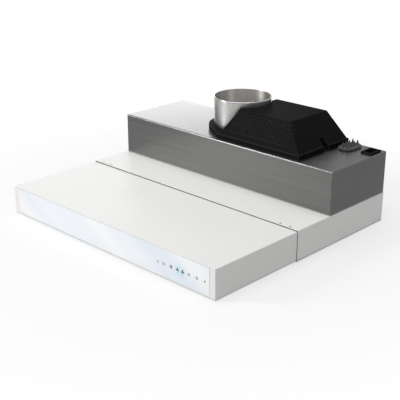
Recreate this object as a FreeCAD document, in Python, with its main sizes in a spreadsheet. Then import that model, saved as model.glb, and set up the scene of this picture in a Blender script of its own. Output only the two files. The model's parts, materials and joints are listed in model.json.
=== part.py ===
import FreeCAD, Part
import Sketcher
import math
import os
import re

# Slide-out extractor hood for a 60 cm kitchen unit, all sizes in millimetres.
# +X is to the right seen from the cook's side, -Y points to the cook, +Z is up.
# The origin is the middle of the footprint, at the underside, with the drawer pulled out.

SIZES = {
    # main casings
    "hood_width": 600.0,
    "body_depth": 290.0,
    "body_height": 65.0,
    "body_sheet": 0.8,
    "body_corner": 1.5,
    "fan_box_depth": 188.0,
    "fan_box_height": 91.0,
    "box_sheet": 1.0,
    "box_corner": 2.5,
    "box_flange": 12.0,
    # drawer, shown pulled out
    "drawer_reach": 227.0,
    "drawer_travel": 200.0,
    "drawer_rear_room": 8.0,
    "drawer_sheet": 0.8,
    "drawer_top_gap": 1.6,
    "drawer_side_gap": 0.7,
    "drawer_floor_gap": 0.8,
    "drawer_return": 10.0,
    "front_lip": 14.0,
    # openings in the body
    "side_lip": 45.0,
    "end_lip": 30.0,
    "inlet_hole_radius": 70.0,
    "fixing_hole_radius": 2.2,
    "fixing_hole_inset": 24.0,
    "fixing_hole_pitch": 24.0,
    "fixing_hole_setback": 6.0,
    # duct collar and its flaps
    "collar_offset": 142.0,
    "collar_to_wall": 79.0,
    "collar_radius": 63.0,
    "collar_wall": 0.8,
    "collar_height": 74.0,
    "collar_bead": 0.8,
    "collar_flange": 8.0,
    "collar_stop_height": 14.0,
    "collar_stop_step": 1.2,
    "flap_height": 6.0,
    "flap_sheet": 1.2,
    "flap_edge_gap": 2.5,
    "flap_split": 3.6,
    "flap_pin_radius": 1.5,
    "flap_post_width": 5.0,
    "seat_width": 5.0,
    "seat_height": 2.0,
    "running_gap": 0.05,
    # motor cover
    "cover_left": 125.0,
    "cover_right": 97.0,
    "cover_front_setback": 9.0,
    "cover_back_setback": 7.0,
    "cover_height": 61.5,
    "cover_plinth": 10.0,
    "cover_shelf": 2.0,
    "cover_wall": 2.2,
    "cover_ring_radius": 75.5,
    "cover_rake_left": 25.5,
    "cover_rake_right": 54.0,
    "cover_rake_front": 37.0,
    "cover_rake_back": 4.0,
    "cover_edge_round": 1.6,
    "vent_count": 24,
    "vent_pitch": 6.5,
    "vent_width": 2.4,
    "vent_bottom_margin": 9.0,
    "vent_top_margin": 6.0,
    "notch_from_wall": 77.5,
    "notch_width": 16.0,
    "notch_depth": 19.0,
    "notch_height": 25.0,
    "cover_boss_radius": 4.0,
    "cover_boss_inset": 9.0,
    "rivet_radius": 1.6,
    "rivet_head_radius": 2.9,
    "rivet_gap": 0.05,
    # fan
    "fan_offset": 188.0,
    "impeller_radius": 65.0,
    "impeller_height": 66.0,
    "impeller_plate": 1.5,
    "blade_count": 36,
    "blade_depth": 13.0,
    "blade_sheet": 1.0,
    "hub_radius": 13.0,
    "hub_height": 18.0,
    "shaft_radius": 4.0,
    "scroll_wall": 2.0,
    "scroll_tongue": 5.0,
    "scroll_growth": 18.0,
    "scroll_chamber_gap": 5.0,
    "scroll_top_gap": 0.3,
    "inlet_throat": 47.0,
    "inlet_lip": 7.0,
    "guard_gap": 0.3,
    "guard_sheet": 1.6,
    # motor
    "motor_radius": 42.0,
    "motor_height": 43.0,
    "motor_foot": 2.5,
    "motor_wall": 3.0,
    "motor_air_gap": 0.6,
    "rotor_core_radius": 22.0,
    "bearing_radius": 11.0,
    "bearing_height": 7.0,
    "motor_ear_radius": 6.0,
    "damper_radius": 7.0,
    "screw_radius": 2.0,
    "screw_head_radius": 3.6,
    "screw_head_height": 2.2,
    "screw_gap": 0.2,
    # electrical parts
    "control_box_width": 72.0,
    "control_box_depth": 150.0,
    "control_box_height": 66.0,
    "control_box_gap": 13.0,
    "plastic_wall": 2.0,
    "board_sheet": 1.6,
    "capacitor_radius": 17.5,
    "capacitor_length": 60.0,
    "capacitor_offset": 5.0,
    "driver_offset": 60.0,
    "driver_width": 60.0,
    "driver_depth": 110.0,
    "driver_height": 28.0,
    "grommet_from_side": 67.0,
    "grommet_to_wall": 36.0,
    "grommet_width": 36.0,
    "grommet_length": 58.0,
    "grommet_height": 5.0,
    "grommet_neck": 4.0,
    "nipple_radius": 4.2,
    "nipple_height": 11.0,
    "nipple_pitch": 12.0,
    "socket_from_side": 18.5,
    "socket_to_wall": 31.0,
    "socket_width": 26.0,
    "socket_length": 37.0,
    "socket_rim": 4.0,
    "socket_wall": 4.0,
    "socket_depth": 16.0,
    "socket_pin_radius": 1.2,
    "switch_width": 30.0,
    "switch_height": 14.0,
    # telescopic rails
    "rail_length": 250.0,
    "rail_setback": 3.5,
    "rail_height": 35.0,
    "rail_width": 12.7,
    "rail_sheet": 1.2,
    "rail_web_gap": 2.0,
    "rail_middle_height": 31.0,
    "glide_height": 2.0,
    "glide_length": 20.0,
    "glide_gap": 0.2,
    "bracket_sheet": 1.5,
    "bracket_foot": 20.0,
    "buffer_radius": 6.0,
    "buffer_gap": 0.3,
    # drawer front
    "front_band_side": 14.0,
    "front_band_top": 2.2,
    "front_band_bottom": 2.2,
    "glass_proud": 0.5,
    "glass_sheet": 4.0,
    "glass_gap": 0.3,
    "glass_arris": 0.4,
    "carrier_back": 2.0,
    "carrier_rim": 5.0,
    "touch_board_right": 17.0,
    "touch_board_width": 140.0,
    "touch_board_height": 26.0,
    "touch_board_level": 31.0,
    # drawer underside
    "panel_side_gap": 40.0,
    "panel_level": 12.0,
    "panel_edge": 10.0,
    "intake_count": 20,
    "intake_pitch": 22.0,
    "intake_width": 8.0,
    "intake_length": 120.0,
    "intake_back_margin": 26.0,
    "lamp_offset": 120.0,
    "lamp_setback": 48.0,
    "lamp_radius": 30.0,
    "lamp_flange": 3.0,
    "lamp_height": 14.0,
    "lens_sheet": 2.0,
    "brace_depth": 12.0,
    "brace_leg": 8.0,
    "magnet_radius": 4.0,
    # grease filter in the body's underside
    "filter_gap": 1.0,
    "filter_height": 8.0,
    "filter_level": 0.5,
    "filter_border": 14.0,
    "filter_pin_radius": 1.5,
    "filter_pin_setback": 6.0,
    "hinge_offset": 120.0,
    "hinge_eye_width": 10.0,
    "hinge_side_gap": 2.0,
    "catch_offset": 190.0,
    "catch_width": 24.0,
    "catch_arm": 9.0,
    "catch_sheet": 2.4,
    "handle_width": 74.0,
    "handle_drop": 14.0,
    "handle_wire": 1.5,
    "handle_pocket": 26.0,
    "handle_plate": 34.0,
}

doc = FreeCAD.newDocument("slide_out_hood")
sheet = doc.addObject("Spreadsheet::Sheet", "Sizes")
for line, (alias, number) in enumerate(SIZES.items(), start=1):
    sheet.set(f"A{line}", alias)
    sheet.set(f"B{line}", str(number))
    sheet.setAlias(f"B{line}", alias)
doc.recompute()

NODES = []


# ---------------------------------------------------------------- helpers

def bound(text):
    """A size expression with every alias pointing at its cell in the sheet."""
    return re.sub(r"[a-z_]\w*", lambda word: swap(word.group(0)), text)


def swap(word):
    return f"Sizes.{word}" if word in SIZES else word


def bind(obj, path, text):
    obj.setExpression(path, bound(text))


def node(obj, label):
    """Mark an object as one of the hood's pieces, saved under its label."""
    obj.Label = label
    NODES.append(obj)
    return obj


def block(name, x, y, z):
    """A box between two places on each axis."""
    box = doc.addObject("Part::Box", name)
    for path, span in (("Length", x), ("Width", y), ("Height", z)):
        bind(box, path, f"({span[1]}) - ({span[0]})")
    bind(box, ".Placement.Base.x", x[0])
    bind(box, ".Placement.Base.y", y[0])
    bind(box, ".Placement.Base.z", z[0])
    return box


TURNS = {
    "X": FreeCAD.Rotation(FreeCAD.Vector(0, 1, 0), 90),
    "Y": FreeCAD.Rotation(FreeCAD.Vector(1, 0, 0), -90),
    "Z": FreeCAD.Rotation(),
}


def rod(name, radius, centre, span, along="Z"):
    """A round bar; centre holds the two places across its axis, span the two along it."""
    bar = doc.addObject("Part::Cylinder", name)
    bind(bar, "Radius", radius)
    bind(bar, "Height", f"({span[1]}) - ({span[0]})")
    bar.Placement = FreeCAD.Placement(FreeCAD.Vector(), TURNS[along])
    base = {
        "X": (span[0], centre[0], centre[1]),
        "Y": (centre[0], span[0], centre[1]),
        "Z": (centre[0], centre[1], span[0]),
    }[along]
    for axis, text in zip("xyz", base):
        bind(bar, f".Placement.Base.{axis}", text)
    return bar


def fuse(name, *shapes):
    joined = doc.addObject("Part::MultiFuse", name)
    joined.Shapes = list(shapes)
    return joined


def cut(name, base, *tools):
    """The base less one or more tools."""
    result = doc.addObject("Part::Cut", name)
    result.Base = base
    result.Tool = tools[0] if len(tools) == 1 else fuse(name + "_tools", *tools)
    return result


def common(name, first, second):
    result = doc.addObject("Part::Common", name)
    result.Base = first
    result.Tool = second
    return result


def group(name, *pieces):
    """Identical pieces that share one node and stay separate solids."""
    bundle = doc.addObject("Part::Compound", name)
    bundle.Links = list(pieces)
    return bundle


def ring(name, inner, outer, centre, span, along="Z"):
    hole = rod(name + "_hole", inner, centre, (f"{span[0]} - 1", f"{span[1]} + 1"), along)
    return cut(name, rod(name + "_disc", outer, centre, span, along), hole)


def new_body(name):
    return doc.addObject("PartDesign::Body", name)


def origin_item(body, role):
    for item in body.Origin.OriginFeatures:
        if item.Role == role:
            return item
    raise ValueError(role)


def new_sketch(body, role, lift="0"):
    """A sketch on one of the body's own planes, moved along the plane's normal."""
    sketch = body.newObject("Sketcher::SketchObject", body.Name + "_sketch")
    sketch.AttachmentSupport = [(origin_item(body, role), "")]
    sketch.MapMode = "FlatFace"
    bind(sketch, "AttachmentOffset.Base.z", lift)
    return sketch


def pin_point(sketch, item, point, start, u, v):
    """Hold one point of a sketch at two places measured from the sketch's origin."""
    for kind, number, text in (("DistanceX", start.x, u), ("DistanceY", start.y, v)):
        index = sketch.addConstraint(Sketcher.Constraint(kind, -1, 1, item, point, number))
        bind(sketch, f"Constraints[{index}]", text)


def outline(sketch, points):
    """A closed run of straight lines through the given places."""
    first = sketch.GeometryCount
    count = len(points)
    spots = []
    for i in range(count):
        angle = 2 * math.pi * i / count
        spots.append(FreeCAD.Vector(math.cos(angle), math.sin(angle), 0))
    for i in range(count):
        sketch.addGeometry(Part.LineSegment(spots[i], spots[(i + 1) % count]), False)
    for i in range(count):
        following = first + (i + 1) % count
        sketch.addConstraint(Sketcher.Constraint("Coincident", first + i, 2, following, 1))
    for i, (u, v) in enumerate(points):
        pin_point(sketch, first + i, 1, spots[i], u, v)


def rectangle(sketch, u, v):
    outline(sketch, [(u[0], v[0]), (u[1], v[0]), (u[1], v[1]), (u[0], v[1])])


def circle(sketch, u, v, radius):
    start = FreeCAD.Vector(1, 1, 0)
    item = sketch.addGeometry(Part.Circle(start, FreeCAD.Vector(0, 0, 1), 1), False)
    pin_point(sketch, item, 3, start, u, v)
    index = sketch.addConstraint(Sketcher.Constraint("Radius", item, 1.0))
    bind(sketch, f"Constraints[{index}]", radius)


def obround(sketch, u, v, width, length):
    """A slot outline standing along v, drawn as two half circles and two lines."""
    half = f"({width}) / 2"
    reach = f"(({length}) - ({width})) / 2"
    up = FreeCAD.Vector(0, 0, 1)
    top = Part.ArcOfCircle(Part.Circle(FreeCAD.Vector(0, 2, 0), up, 1), 0, math.pi)
    low = Part.ArcOfCircle(Part.Circle(FreeCAD.Vector(0, -2, 0), up, 1), math.pi, 2 * math.pi)
    first = sketch.addGeometry(top, False)
    second = sketch.addGeometry(low, False)
    left = sketch.addGeometry(
        Part.LineSegment(FreeCAD.Vector(-1, 2, 0), FreeCAD.Vector(-1, -2, 0)), False)
    right = sketch.addGeometry(
        Part.LineSegment(FreeCAD.Vector(1, -2, 0), FreeCAD.Vector(1, 2, 0)), False)
    for a, b, c, d in ((first, 2, left, 1), (left, 2, second, 1),
                       (second, 2, right, 1), (right, 2, first, 1)):
        sketch.addConstraint(Sketcher.Constraint("Coincident", a, b, c, d))
    for arc, sign, middle in ((first, "+", 2), (second, "-", -2)):
        level = f"({v}) {sign} {reach}"
        pin_point(sketch, arc, 3, FreeCAD.Vector(0, middle, 0), u, level)
        index = sketch.addConstraint(Sketcher.Constraint("Radius", arc, 1.0))
        bind(sketch, f"Constraints[{index}]", half)
        for end in (1, 2):
            index = sketch.addConstraint(
                Sketcher.Constraint("DistanceY", -1, 1, arc, end, float(middle)))
            bind(sketch, f"Constraints[{index}]", level)


def pad(body, sketch, length, flip=False):
    feature = body.newObject("PartDesign::Pad", body.Name + "_pad")
    feature.Profile = sketch
    bind(feature, "Length", length)
    feature.Reversed = flip
    doc.recompute()
    return feature


def pocket(body, sketch, length, flip=False):
    before = body.Shape.Volume
    feature = body.newObject("PartDesign::Pocket", body.Name + "_pocket")
    feature.Profile = sketch
    bind(feature, "Length", length)
    feature.Reversed = flip
    doc.recompute()
    if body.Shape.Volume > before - 0.01:
        raise RuntimeError(f"{feature.Name} cuts nothing")
    return feature


def revolve(body, sketch):
    feature = body.newObject("PartDesign::Revolution", body.Name + "_turned")
    feature.Profile = sketch
    feature.ReferenceAxis = (sketch, ["V_Axis"])
    feature.Angle = 360
    doc.recompute()
    return feature


def loft(body, lower, upper):
    feature = body.newObject("PartDesign::AdditiveLoft", body.Name + "_loft")
    feature.Profile = lower
    feature.Sections = [upper]
    feature.Ruled = True
    doc.recompute()
    return feature


def round_edges(body, radius, wanted):
    """Round the edges that the test picks."""
    base = body.Tip
    names = []
    for index, edge in enumerate(base.Shape.Edges, start=1):
        if wanted(edge):
            names.append(f"Edge{index}")
    feature = body.newObject("PartDesign::Fillet", body.Name + "_round")
    feature.Base = (base, names)
    bind(feature, "Radius", radius)
    doc.recompute()
    return feature


def bevel_edges(body, width, wanted):
    base = body.Tip
    names = []
    for index, edge in enumerate(base.Shape.Edges, start=1):
        if wanted(edge):
            names.append(f"Edge{index}")
    feature = body.newObject("PartDesign::Chamfer", body.Name + "_bevel")
    feature.Base = (base, names)
    bind(feature, "Size", width)
    doc.recompute()
    return feature


def row_of(body, source, role, pitch, count):
    """Repeat a feature at a steady pitch along one of the body's axes."""
    feature = body.newObject("PartDesign::LinearPattern", body.Name + "_row")
    feature.Originals = [source]
    feature.Direction = (origin_item(body, role), [""])
    if "Mode" in feature.PropertiesList:
        feature.Mode = "Spacing"
        bind(feature, "Offset", pitch)
    else:
        bind(feature, "Length", f"({pitch}) * (({count}) - 1)")
    bind(feature, "Occurrences", count)
    body.Tip = feature
    doc.recompute()
    return feature


def wheel_of(body, source, count):
    """Repeat a feature all the way round the body's own Z axis."""
    feature = body.newObject("PartDesign::PolarPattern", body.Name + "_wheel")
    feature.Originals = [source]
    feature.Axis = (origin_item(body, "Z_Axis"), [""])
    feature.Angle = 360
    bind(feature, "Occurrences", count)
    body.Tip = feature
    doc.recompute()
    return feature


def stand_at(obj, x, y, z="0"):
    """Move a body to its place in the hood."""
    for axis, text in zip("xyz", (x, y, z)):
        bind(obj, f".Placement.Base.{axis}", text)


def mirrored(side, near, far):
    """A span on the right side, or its mirror on the left one."""
    if side > 0:
        return near, far
    return f"0 - ({far})", f"0 - ({near})"


SIDES = {"left": -1, "right": 1}


# ------------------------------------------------- places worked out from the sizes

FRONT = "(0 - (drawer_reach + body_depth) / 2)"
BODY_FRONT = "((drawer_reach - body_depth) / 2)"
BACK = "((drawer_reach + body_depth) / 2)"
HALF = "(hood_width / 2)"
BOX_FRONT = f"({BACK} - fan_box_depth)"
BOX_TOP = "(body_height + fan_box_height)"
BOX_CEILING = f"({BOX_TOP} - box_sheet)"
# the fan hangs from the right side, and the collar and the motor cover from the fan
FAN_X = f"({HALF} - fan_offset)"
COLLAR_X = f"({FAN_X} - collar_offset)"
COLLAR_Y = f"({BACK} - collar_to_wall)"
COLLAR_OUTER = "(collar_radius + collar_wall)"
COLLAR_FOOT = "(collar_radius - collar_stop_step)"
FAN_Y = f"({BACK} - fan_box_depth / 2)"

SKIRT_OUT = f"({HALF} - body_sheet - drawer_side_gap)"
SKIRT_IN = f"({SKIRT_OUT} - drawer_sheet)"
DRAWER_LOW = "(body_sheet + drawer_floor_gap)"
DRAWER_TOP = "(body_height - body_sheet - drawer_top_gap)"
DRAWER_REAR = f"({BACK} - drawer_rear_room - drawer_travel)"
SHELL_FRONT = f"({FRONT} + glass_proud)"
PANEL_HALF = f"({HALF} - panel_side_gap)"
TOUCH_RIGHT = f"({HALF} - touch_board_right)"
LAMP_X = f"({HALF} - lamp_offset)"

SCROLL_TOP = f"({BOX_CEILING} - scroll_top_gap)"
SCROLL_REACH = "(impeller_radius + scroll_tongue + scroll_growth)"
CHAMBER_LEFT = f"({COLLAR_X} - collar_radius - scroll_chamber_gap)"

IMPELLER_LOW = "(body_height + scroll_wall + inlet_lip + 2)"
IMPELLER_TOP = f"({IMPELLER_LOW} + impeller_height)"

MOTOR_LOW = f"({BOX_TOP} + motor_foot)"
MOTOR_TOP = f"({MOTOR_LOW} + motor_height)"

RAIL_X = f"({SKIRT_IN} - rail_width)"
RAIL_LOW = f"(rail_middle_height - rail_height / 2)"
RAIL_TOP = f"(rail_middle_height + rail_height / 2)"
RAIL_FRONT = f"({BODY_FRONT} + rail_setback)"

FILTER_X = f"({HALF} - side_lip - filter_gap)"
FILTER_FRONT = f"({BODY_FRONT} + end_lip + filter_gap)"
FILTER_BACK = f"({BACK} - end_lip - filter_gap)"
FILTER_TOP = "(filter_level + filter_height)"
HINGE_X = f"({HALF} - hinge_offset)"
CATCH_X = f"({HALF} - catch_offset)"
FILTER_PIN_Y = f"({FILTER_BACK} - filter_pin_setback)"
FILTER_PIN_Z = "(filter_level + filter_height / 2)"


# ---------------------------------------------------------------- body and fan box

def make_body_shell():
    """White sheet-steel sleeve: the drawer slides into it, the fan box stands on it."""
    body = new_body("body_shell_form")
    sketch = new_sketch(body, "XZ_Plane", f"0 - {BODY_FRONT}")
    rectangle(sketch, (f"0 - {HALF}", HALF), ("0", "body_height"))
    pad(body, sketch, "body_depth", flip=True)
    round_edges(body, "body_corner", lambda edge: edge.BoundBox.YLength > 1)
    sketch = new_sketch(body, "XZ_Plane", f"0 - {BODY_FRONT}")
    rectangle(sketch, (f"0 - {HALF} + body_sheet", f"{HALF} - body_sheet"),
              ("body_sheet", "body_height - body_sheet"))
    pocket(body, sketch, "body_depth - body_sheet")
    # the opening in the underside that the grease filter closes
    sketch = new_sketch(body, "XY_Plane")
    rectangle(sketch, (f"0 - {HALF} + side_lip", f"{HALF} - side_lip"),
              (f"{BODY_FRONT} + end_lip", f"{BACK} - end_lip"))
    pocket(body, sketch, "body_sheet", flip=True)
    # the fan's air hole and the four fixing holes near the front edge of the ledge
    sketch = new_sketch(body, "XY_Plane", "body_height")
    circle(sketch, FAN_X, FAN_Y, "inlet_hole_radius")
    for sign in ("0 -", "0 +"):
        for inset in ("fixing_hole_inset", "(fixing_hole_inset + fixing_hole_pitch)"):
            circle(sketch, f"{sign} ({HALF} - {inset})",
                   f"{BODY_FRONT} + fixing_hole_setback", "fixing_hole_radius")
    for x, y in flange_rivet_places():
        circle(sketch, x, y, "rivet_radius + rivet_gap")
    pocket(body, sketch, "body_sheet")
    sketch = new_sketch(body, "XY_Plane")
    for x, y in foot_rivet_places():
        circle(sketch, x, y, "rivet_radius + rivet_gap")
    pocket(body, sketch, "body_sheet", flip=True)
    return node(body, "body_shell")


GROMMET_X = f"({HALF} - grommet_from_side)"
GROMMET_Y = f"({BACK} - grommet_to_wall)"
SOCKET_X = f"({HALF} - socket_from_side)"
SOCKET_Y = f"({BACK} - socket_to_wall)"
GROMMET_HOLE_WIDTH = "(grommet_width - 2 * grommet_neck)"
GROMMET_HOLE_LENGTH = "(grommet_length - 2 * grommet_neck)"
SOCKET_HOLE_WIDTH = "(socket_width - socket_rim)"
SOCKET_HOLE_LENGTH = "(socket_length - socket_rim)"


def make_fan_box():
    """Steel box over the rear of the body, folded from one sheet, open underneath."""
    body = new_body("fan_box_form")
    sketch = new_sketch(body, "XY_Plane", "body_height")
    rectangle(sketch, (f"0 - {HALF}", HALF), (BOX_FRONT, BACK))
    pad(body, sketch, "fan_box_height")
    sketch = new_sketch(body, "XY_Plane", "body_height")
    rectangle(sketch, (f"0 - {HALF} + box_sheet", f"{HALF} - box_sheet"),
              (f"{BOX_FRONT} + box_sheet", f"{BACK} - box_sheet"))
    pocket(body, sketch, "fan_box_height - box_sheet", flip=True)
    round_edges(body, "box_corner - box_sheet", lambda edge: is_box_edge(edge, True))
    round_edges(body, "box_corner", lambda edge: is_box_edge(edge, False))
    # the inward flange that is riveted to the body
    sketch = new_sketch(body, "XY_Plane", "body_height")
    inset = "(box_sheet + box_flange)"
    rectangle(sketch, (f"0 - {HALF} + box_sheet / 2", f"{HALF} - box_sheet / 2"),
              (f"{BOX_FRONT} + box_sheet / 2", f"{BACK} - box_sheet / 2"))
    rectangle(sketch, (f"0 - {HALF} + {inset}", f"{HALF} - {inset}"),
              (f"{BOX_FRONT} + {inset}", f"{BACK} - {inset}"))
    pad(body, sketch, "box_sheet")
    # a gap in the rear flange for the scroll, and the flange's rivet holes
    sketch = new_sketch(body, "XY_Plane", "body_height + box_sheet")
    rectangle(sketch, (f"{CHAMBER_LEFT} - scroll_wall - 2", f"{FAN_X} + {SCROLL_REACH} * 0.48"),
              (f"{BACK} - {inset} - 1", f"{BACK} - box_sheet"))
    pocket(body, sketch, "box_sheet")
    sketch = new_sketch(body, "XY_Plane", "body_height + box_sheet")
    for x, y in flange_rivet_places():
        circle(sketch, x, y, "rivet_radius + rivet_gap")
    pocket(body, sketch, "box_sheet")
    # holes in the roof: duct collar, motor shaft, motor screws, cover screws
    sketch = new_sketch(body, "XY_Plane", BOX_TOP)
    circle(sketch, COLLAR_X, COLLAR_Y, "collar_radius")
    circle(sketch, FAN_X, FAN_Y, "hub_radius + 1")
    for x, y in motor_ear_places():
        circle(sketch, x, y, "screw_radius + screw_gap")
    for x, y in cover_boss_places():
        circle(sketch, x, y, "screw_radius + screw_gap")
    pocket(body, sketch, "box_sheet")
    # holes in the roof: cable grommet and connector socket
    sketch = new_sketch(body, "XY_Plane", BOX_TOP)
    obround(sketch, GROMMET_X, GROMMET_Y, GROMMET_HOLE_WIDTH, GROMMET_HOLE_LENGTH)
    pocket(body, sketch, "box_sheet")
    sketch = new_sketch(body, "XY_Plane", BOX_TOP)
    rectangle(sketch, (f"{SOCKET_X} - {SOCKET_HOLE_WIDTH} / 2", f"{SOCKET_X} + {SOCKET_HOLE_WIDTH} / 2"),
              (f"{SOCKET_Y} - {SOCKET_HOLE_LENGTH} / 2", f"{SOCKET_Y} + {SOCKET_HOLE_LENGTH} / 2"))
    pocket(body, sketch, "box_sheet")
    return node(body, "fan_box")


def is_box_edge(edge, inner):
    """Edges above the fan box's foot, either of its inside or of its outside."""
    low = sheet.get("body_height") + 1
    wall = sheet.get("box_sheet") / 2
    inside = edge.BoundBox.XMax < sheet.get("hood_width") / 2 - wall
    inside = inside and edge.BoundBox.XMin > wall - sheet.get("hood_width") / 2
    back = (sheet.get("drawer_reach") + sheet.get("body_depth")) / 2
    front = back - sheet.get("fan_box_depth")
    inside = inside and front + wall < edge.BoundBox.YMin and edge.BoundBox.YMax < back - wall
    return edge.CenterOfMass.z > low and inside == inner


def flange_rivet_places():
    """Middle of the fan box's flange: front and back rows, and one on each side."""
    middle = "(box_sheet + box_flange / 2 + 0.5)"
    front = f"({BOX_FRONT} + {middle})"
    back = f"({BACK} - {middle})"
    side = f"({HALF} - {middle})"
    places = []
    for share in ("-0.4", "-0.13", "0.13", "0.4"):
        places.append((f"{share} * hood_width", front))
    for share in ("-0.4", "-0.22", "0.3", "0.4"):
        places.append((f"{share} * hood_width", back))
    for sign in ("0 -", "0 +"):
        places.append((f"{sign} {side}", FAN_Y))
    return places


def foot_rivet_places():
    """Rivets along the feet of the two rail brackets."""
    places = []
    for side in SIDES.values():
        for share in ("0.1", "0.5", "0.9"):
            places.append((f"{side} * ({RAIL_X} - bracket_foot / 2)",
                           f"({RAIL_FRONT} + rail_length * {share})"))
    return places


def rivet(name, x, y, low, high, tail):
    """A rivet whose head lies on top and whose stem runs from low to high."""
    head = rod(f"{name}_head", "rivet_head_radius", (x, y), (high, f"{high} + 1"))
    stem = rod(f"{name}_stem", "rivet_radius", (x, y), (low, high))
    if not tail:
        return fuse(name, head, stem)
    foot = rod(f"{name}_tail", "rivet_head_radius * 0.85", (x, y), (f"{low} - 0.7", low))
    return fuse(name, head, stem, foot)


def make_rivets():
    """Low rivets: the fan box on the body's roof, the rail brackets on its side lips."""
    rivets = []
    for index, (x, y) in enumerate(flange_rivet_places()):
        rivets.append(rivet(f"flange_rivet_{index}", x, y, "body_height - body_sheet",
                            "body_height + box_sheet", True))
    for index, (x, y) in enumerate(foot_rivet_places()):
        rivets.append(rivet(f"foot_rivet_{index}", x, y, "0", "body_sheet + bracket_sheet", False))
    return node(group("body_rivets_form", *rivets), "body_rivets")


# ---------------------------------------------------------------- duct collar and flaps

def make_duct_collar():
    """Straight steel spigot: a bead at its mouth, a stop for the duct and a flange at its foot."""
    body = new_body("duct_collar_form")
    sketch = new_sketch(body, "XZ_Plane")
    top = f"({BOX_TOP} + collar_height)"
    foot = f"({BOX_TOP} + collar_wall)"
    bead = f"({COLLAR_OUTER} + collar_bead)"
    stop = f"({BOX_TOP} + collar_stop_height)"
    outline(sketch, [
        (COLLAR_FOOT, BOX_TOP),
        (f"{COLLAR_OUTER} + collar_flange", BOX_TOP),
        (f"{COLLAR_OUTER} + collar_flange", foot),
        (COLLAR_OUTER, foot),
        (COLLAR_OUTER, f"{top} - 3 * collar_bead"),
        (bead, f"{top} - 2 * collar_bead"),
        (bead, f"{top} - collar_bead / 2"),
        (f"{bead} - collar_bead / 2", top),
        ("collar_radius", top),
        ("collar_radius", stop),
        (COLLAR_FOOT, stop),
    ])
    revolve(body, sketch)
    stand_at(body, COLLAR_X, COLLAR_Y)
    return node(body, "duct_collar")


SEAT_TOP = f"({BOX_TOP} + flap_height)"
FLAP_LOW = f"({SEAT_TOP} + 0.3)"
FLAP_PIN_Z = f"({FLAP_LOW} + flap_pin_radius * 2 + 0.2)"
KNUCKLE = "(flap_pin_radius * 2)"
FLAP_RADIUS = f"({COLLAR_FOOT} - flap_edge_gap)"


def make_flap_seat():
    """Ring inside the collar that the closed flaps rest on, with the pin's two posts."""
    rim = ring("flap_seat_rim", f"{COLLAR_FOOT} - seat_width", f"{COLLAR_FOOT} - 0.1",
               (COLLAR_X, COLLAR_Y), (f"{SEAT_TOP} - seat_height", SEAT_TOP))
    posts = []
    for index, sign in enumerate(("-", "+")):
        outer = f"{COLLAR_Y} {sign} ({COLLAR_FOOT} - 0.6)"
        inner = f"{COLLAR_Y} {sign} ({COLLAR_FOOT} - 3.6)"
        span = (outer, inner) if sign == "-" else (inner, outer)
        post = block(f"flap_post_{index}",
                     (f"{COLLAR_X} - flap_post_width / 2", f"{COLLAR_X} + flap_post_width / 2"), span,
                     (f"{SEAT_TOP} - seat_height / 2", f"{FLAP_PIN_Z} + {KNUCKLE}"))
        posts.append(post)
    bore = rod("flap_seat_bore", "flap_pin_radius + running_gap / 2", (COLLAR_X, FLAP_PIN_Z),
               (f"{COLLAR_Y} - collar_radius", f"{COLLAR_Y} + collar_radius"), "Y")
    return node(cut("flap_seat_form", fuse("flap_seat_solid", rim, *posts), bore), "flap_seat")


def make_flap_pin():
    """Rod across the collar that both flaps turn on."""
    pin = rod("flap_pin_form", "flap_pin_radius", (COLLAR_X, FLAP_PIN_Z),
              (f"{COLLAR_Y} - {COLLAR_FOOT} + 0.6", f"{COLLAR_Y} + {COLLAR_FOOT} - 0.6"), "Y")
    return node(pin, "flap_pin")


def make_flap(name, sign, knuckles):
    """Half-moon non-return flap with its two knuckles round the pin."""
    disc = rod(f"{name}_disc", FLAP_RADIUS, (COLLAR_X, COLLAR_Y),
               (FLAP_LOW, f"{FLAP_LOW} + flap_sheet"))
    near = f"{COLLAR_X} {sign} flap_split"
    far = f"{COLLAR_X} {sign} collar_radius"
    span = (far, near) if sign == "-" else (near, far)
    half = block(f"{name}_half", span,
                 (f"{COLLAR_Y} - collar_radius", f"{COLLAR_Y} + collar_radius"),
                 (f"{FLAP_LOW} - 1", f"{FLAP_LOW} + flap_sheet + 1"))
    parts = [common(f"{name}_blade", disc, half)]
    for index, (low, high) in enumerate(knuckles):
        reach = (f"{COLLAR_Y} + {low}", f"{COLLAR_Y} + {high}")
        barrel = rod(f"{name}_barrel_{index}", KNUCKLE, (COLLAR_X, FLAP_PIN_Z), reach, "Y")
        edge = f"{COLLAR_X} {sign} (flap_split + 3)"
        web_span = (edge, COLLAR_X) if sign == "-" else (COLLAR_X, edge)
        web = block(f"{name}_web_{index}", web_span, reach, (FLAP_LOW, f"{FLAP_LOW} + flap_sheet"))
        parts += [barrel, web]
    bore = rod(f"{name}_bore", "flap_pin_radius + running_gap", (COLLAR_X, FLAP_PIN_Z),
               (f"{COLLAR_Y} - collar_radius", f"{COLLAR_Y} + collar_radius"), "Y")
    return node(cut(f"{name}_form", fuse(f"{name}_solid", *parts), bore), name)


def make_flaps():
    make_flap("flap_left", "-", (("(0 - 48)", "(0 - 26)"), ("2", "24")))
    make_flap("flap_right", "+", (("(0 - 24)", "(0 - 2)"), ("26", "48")))


# ---------------------------------------------------------------- motor cover

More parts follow.
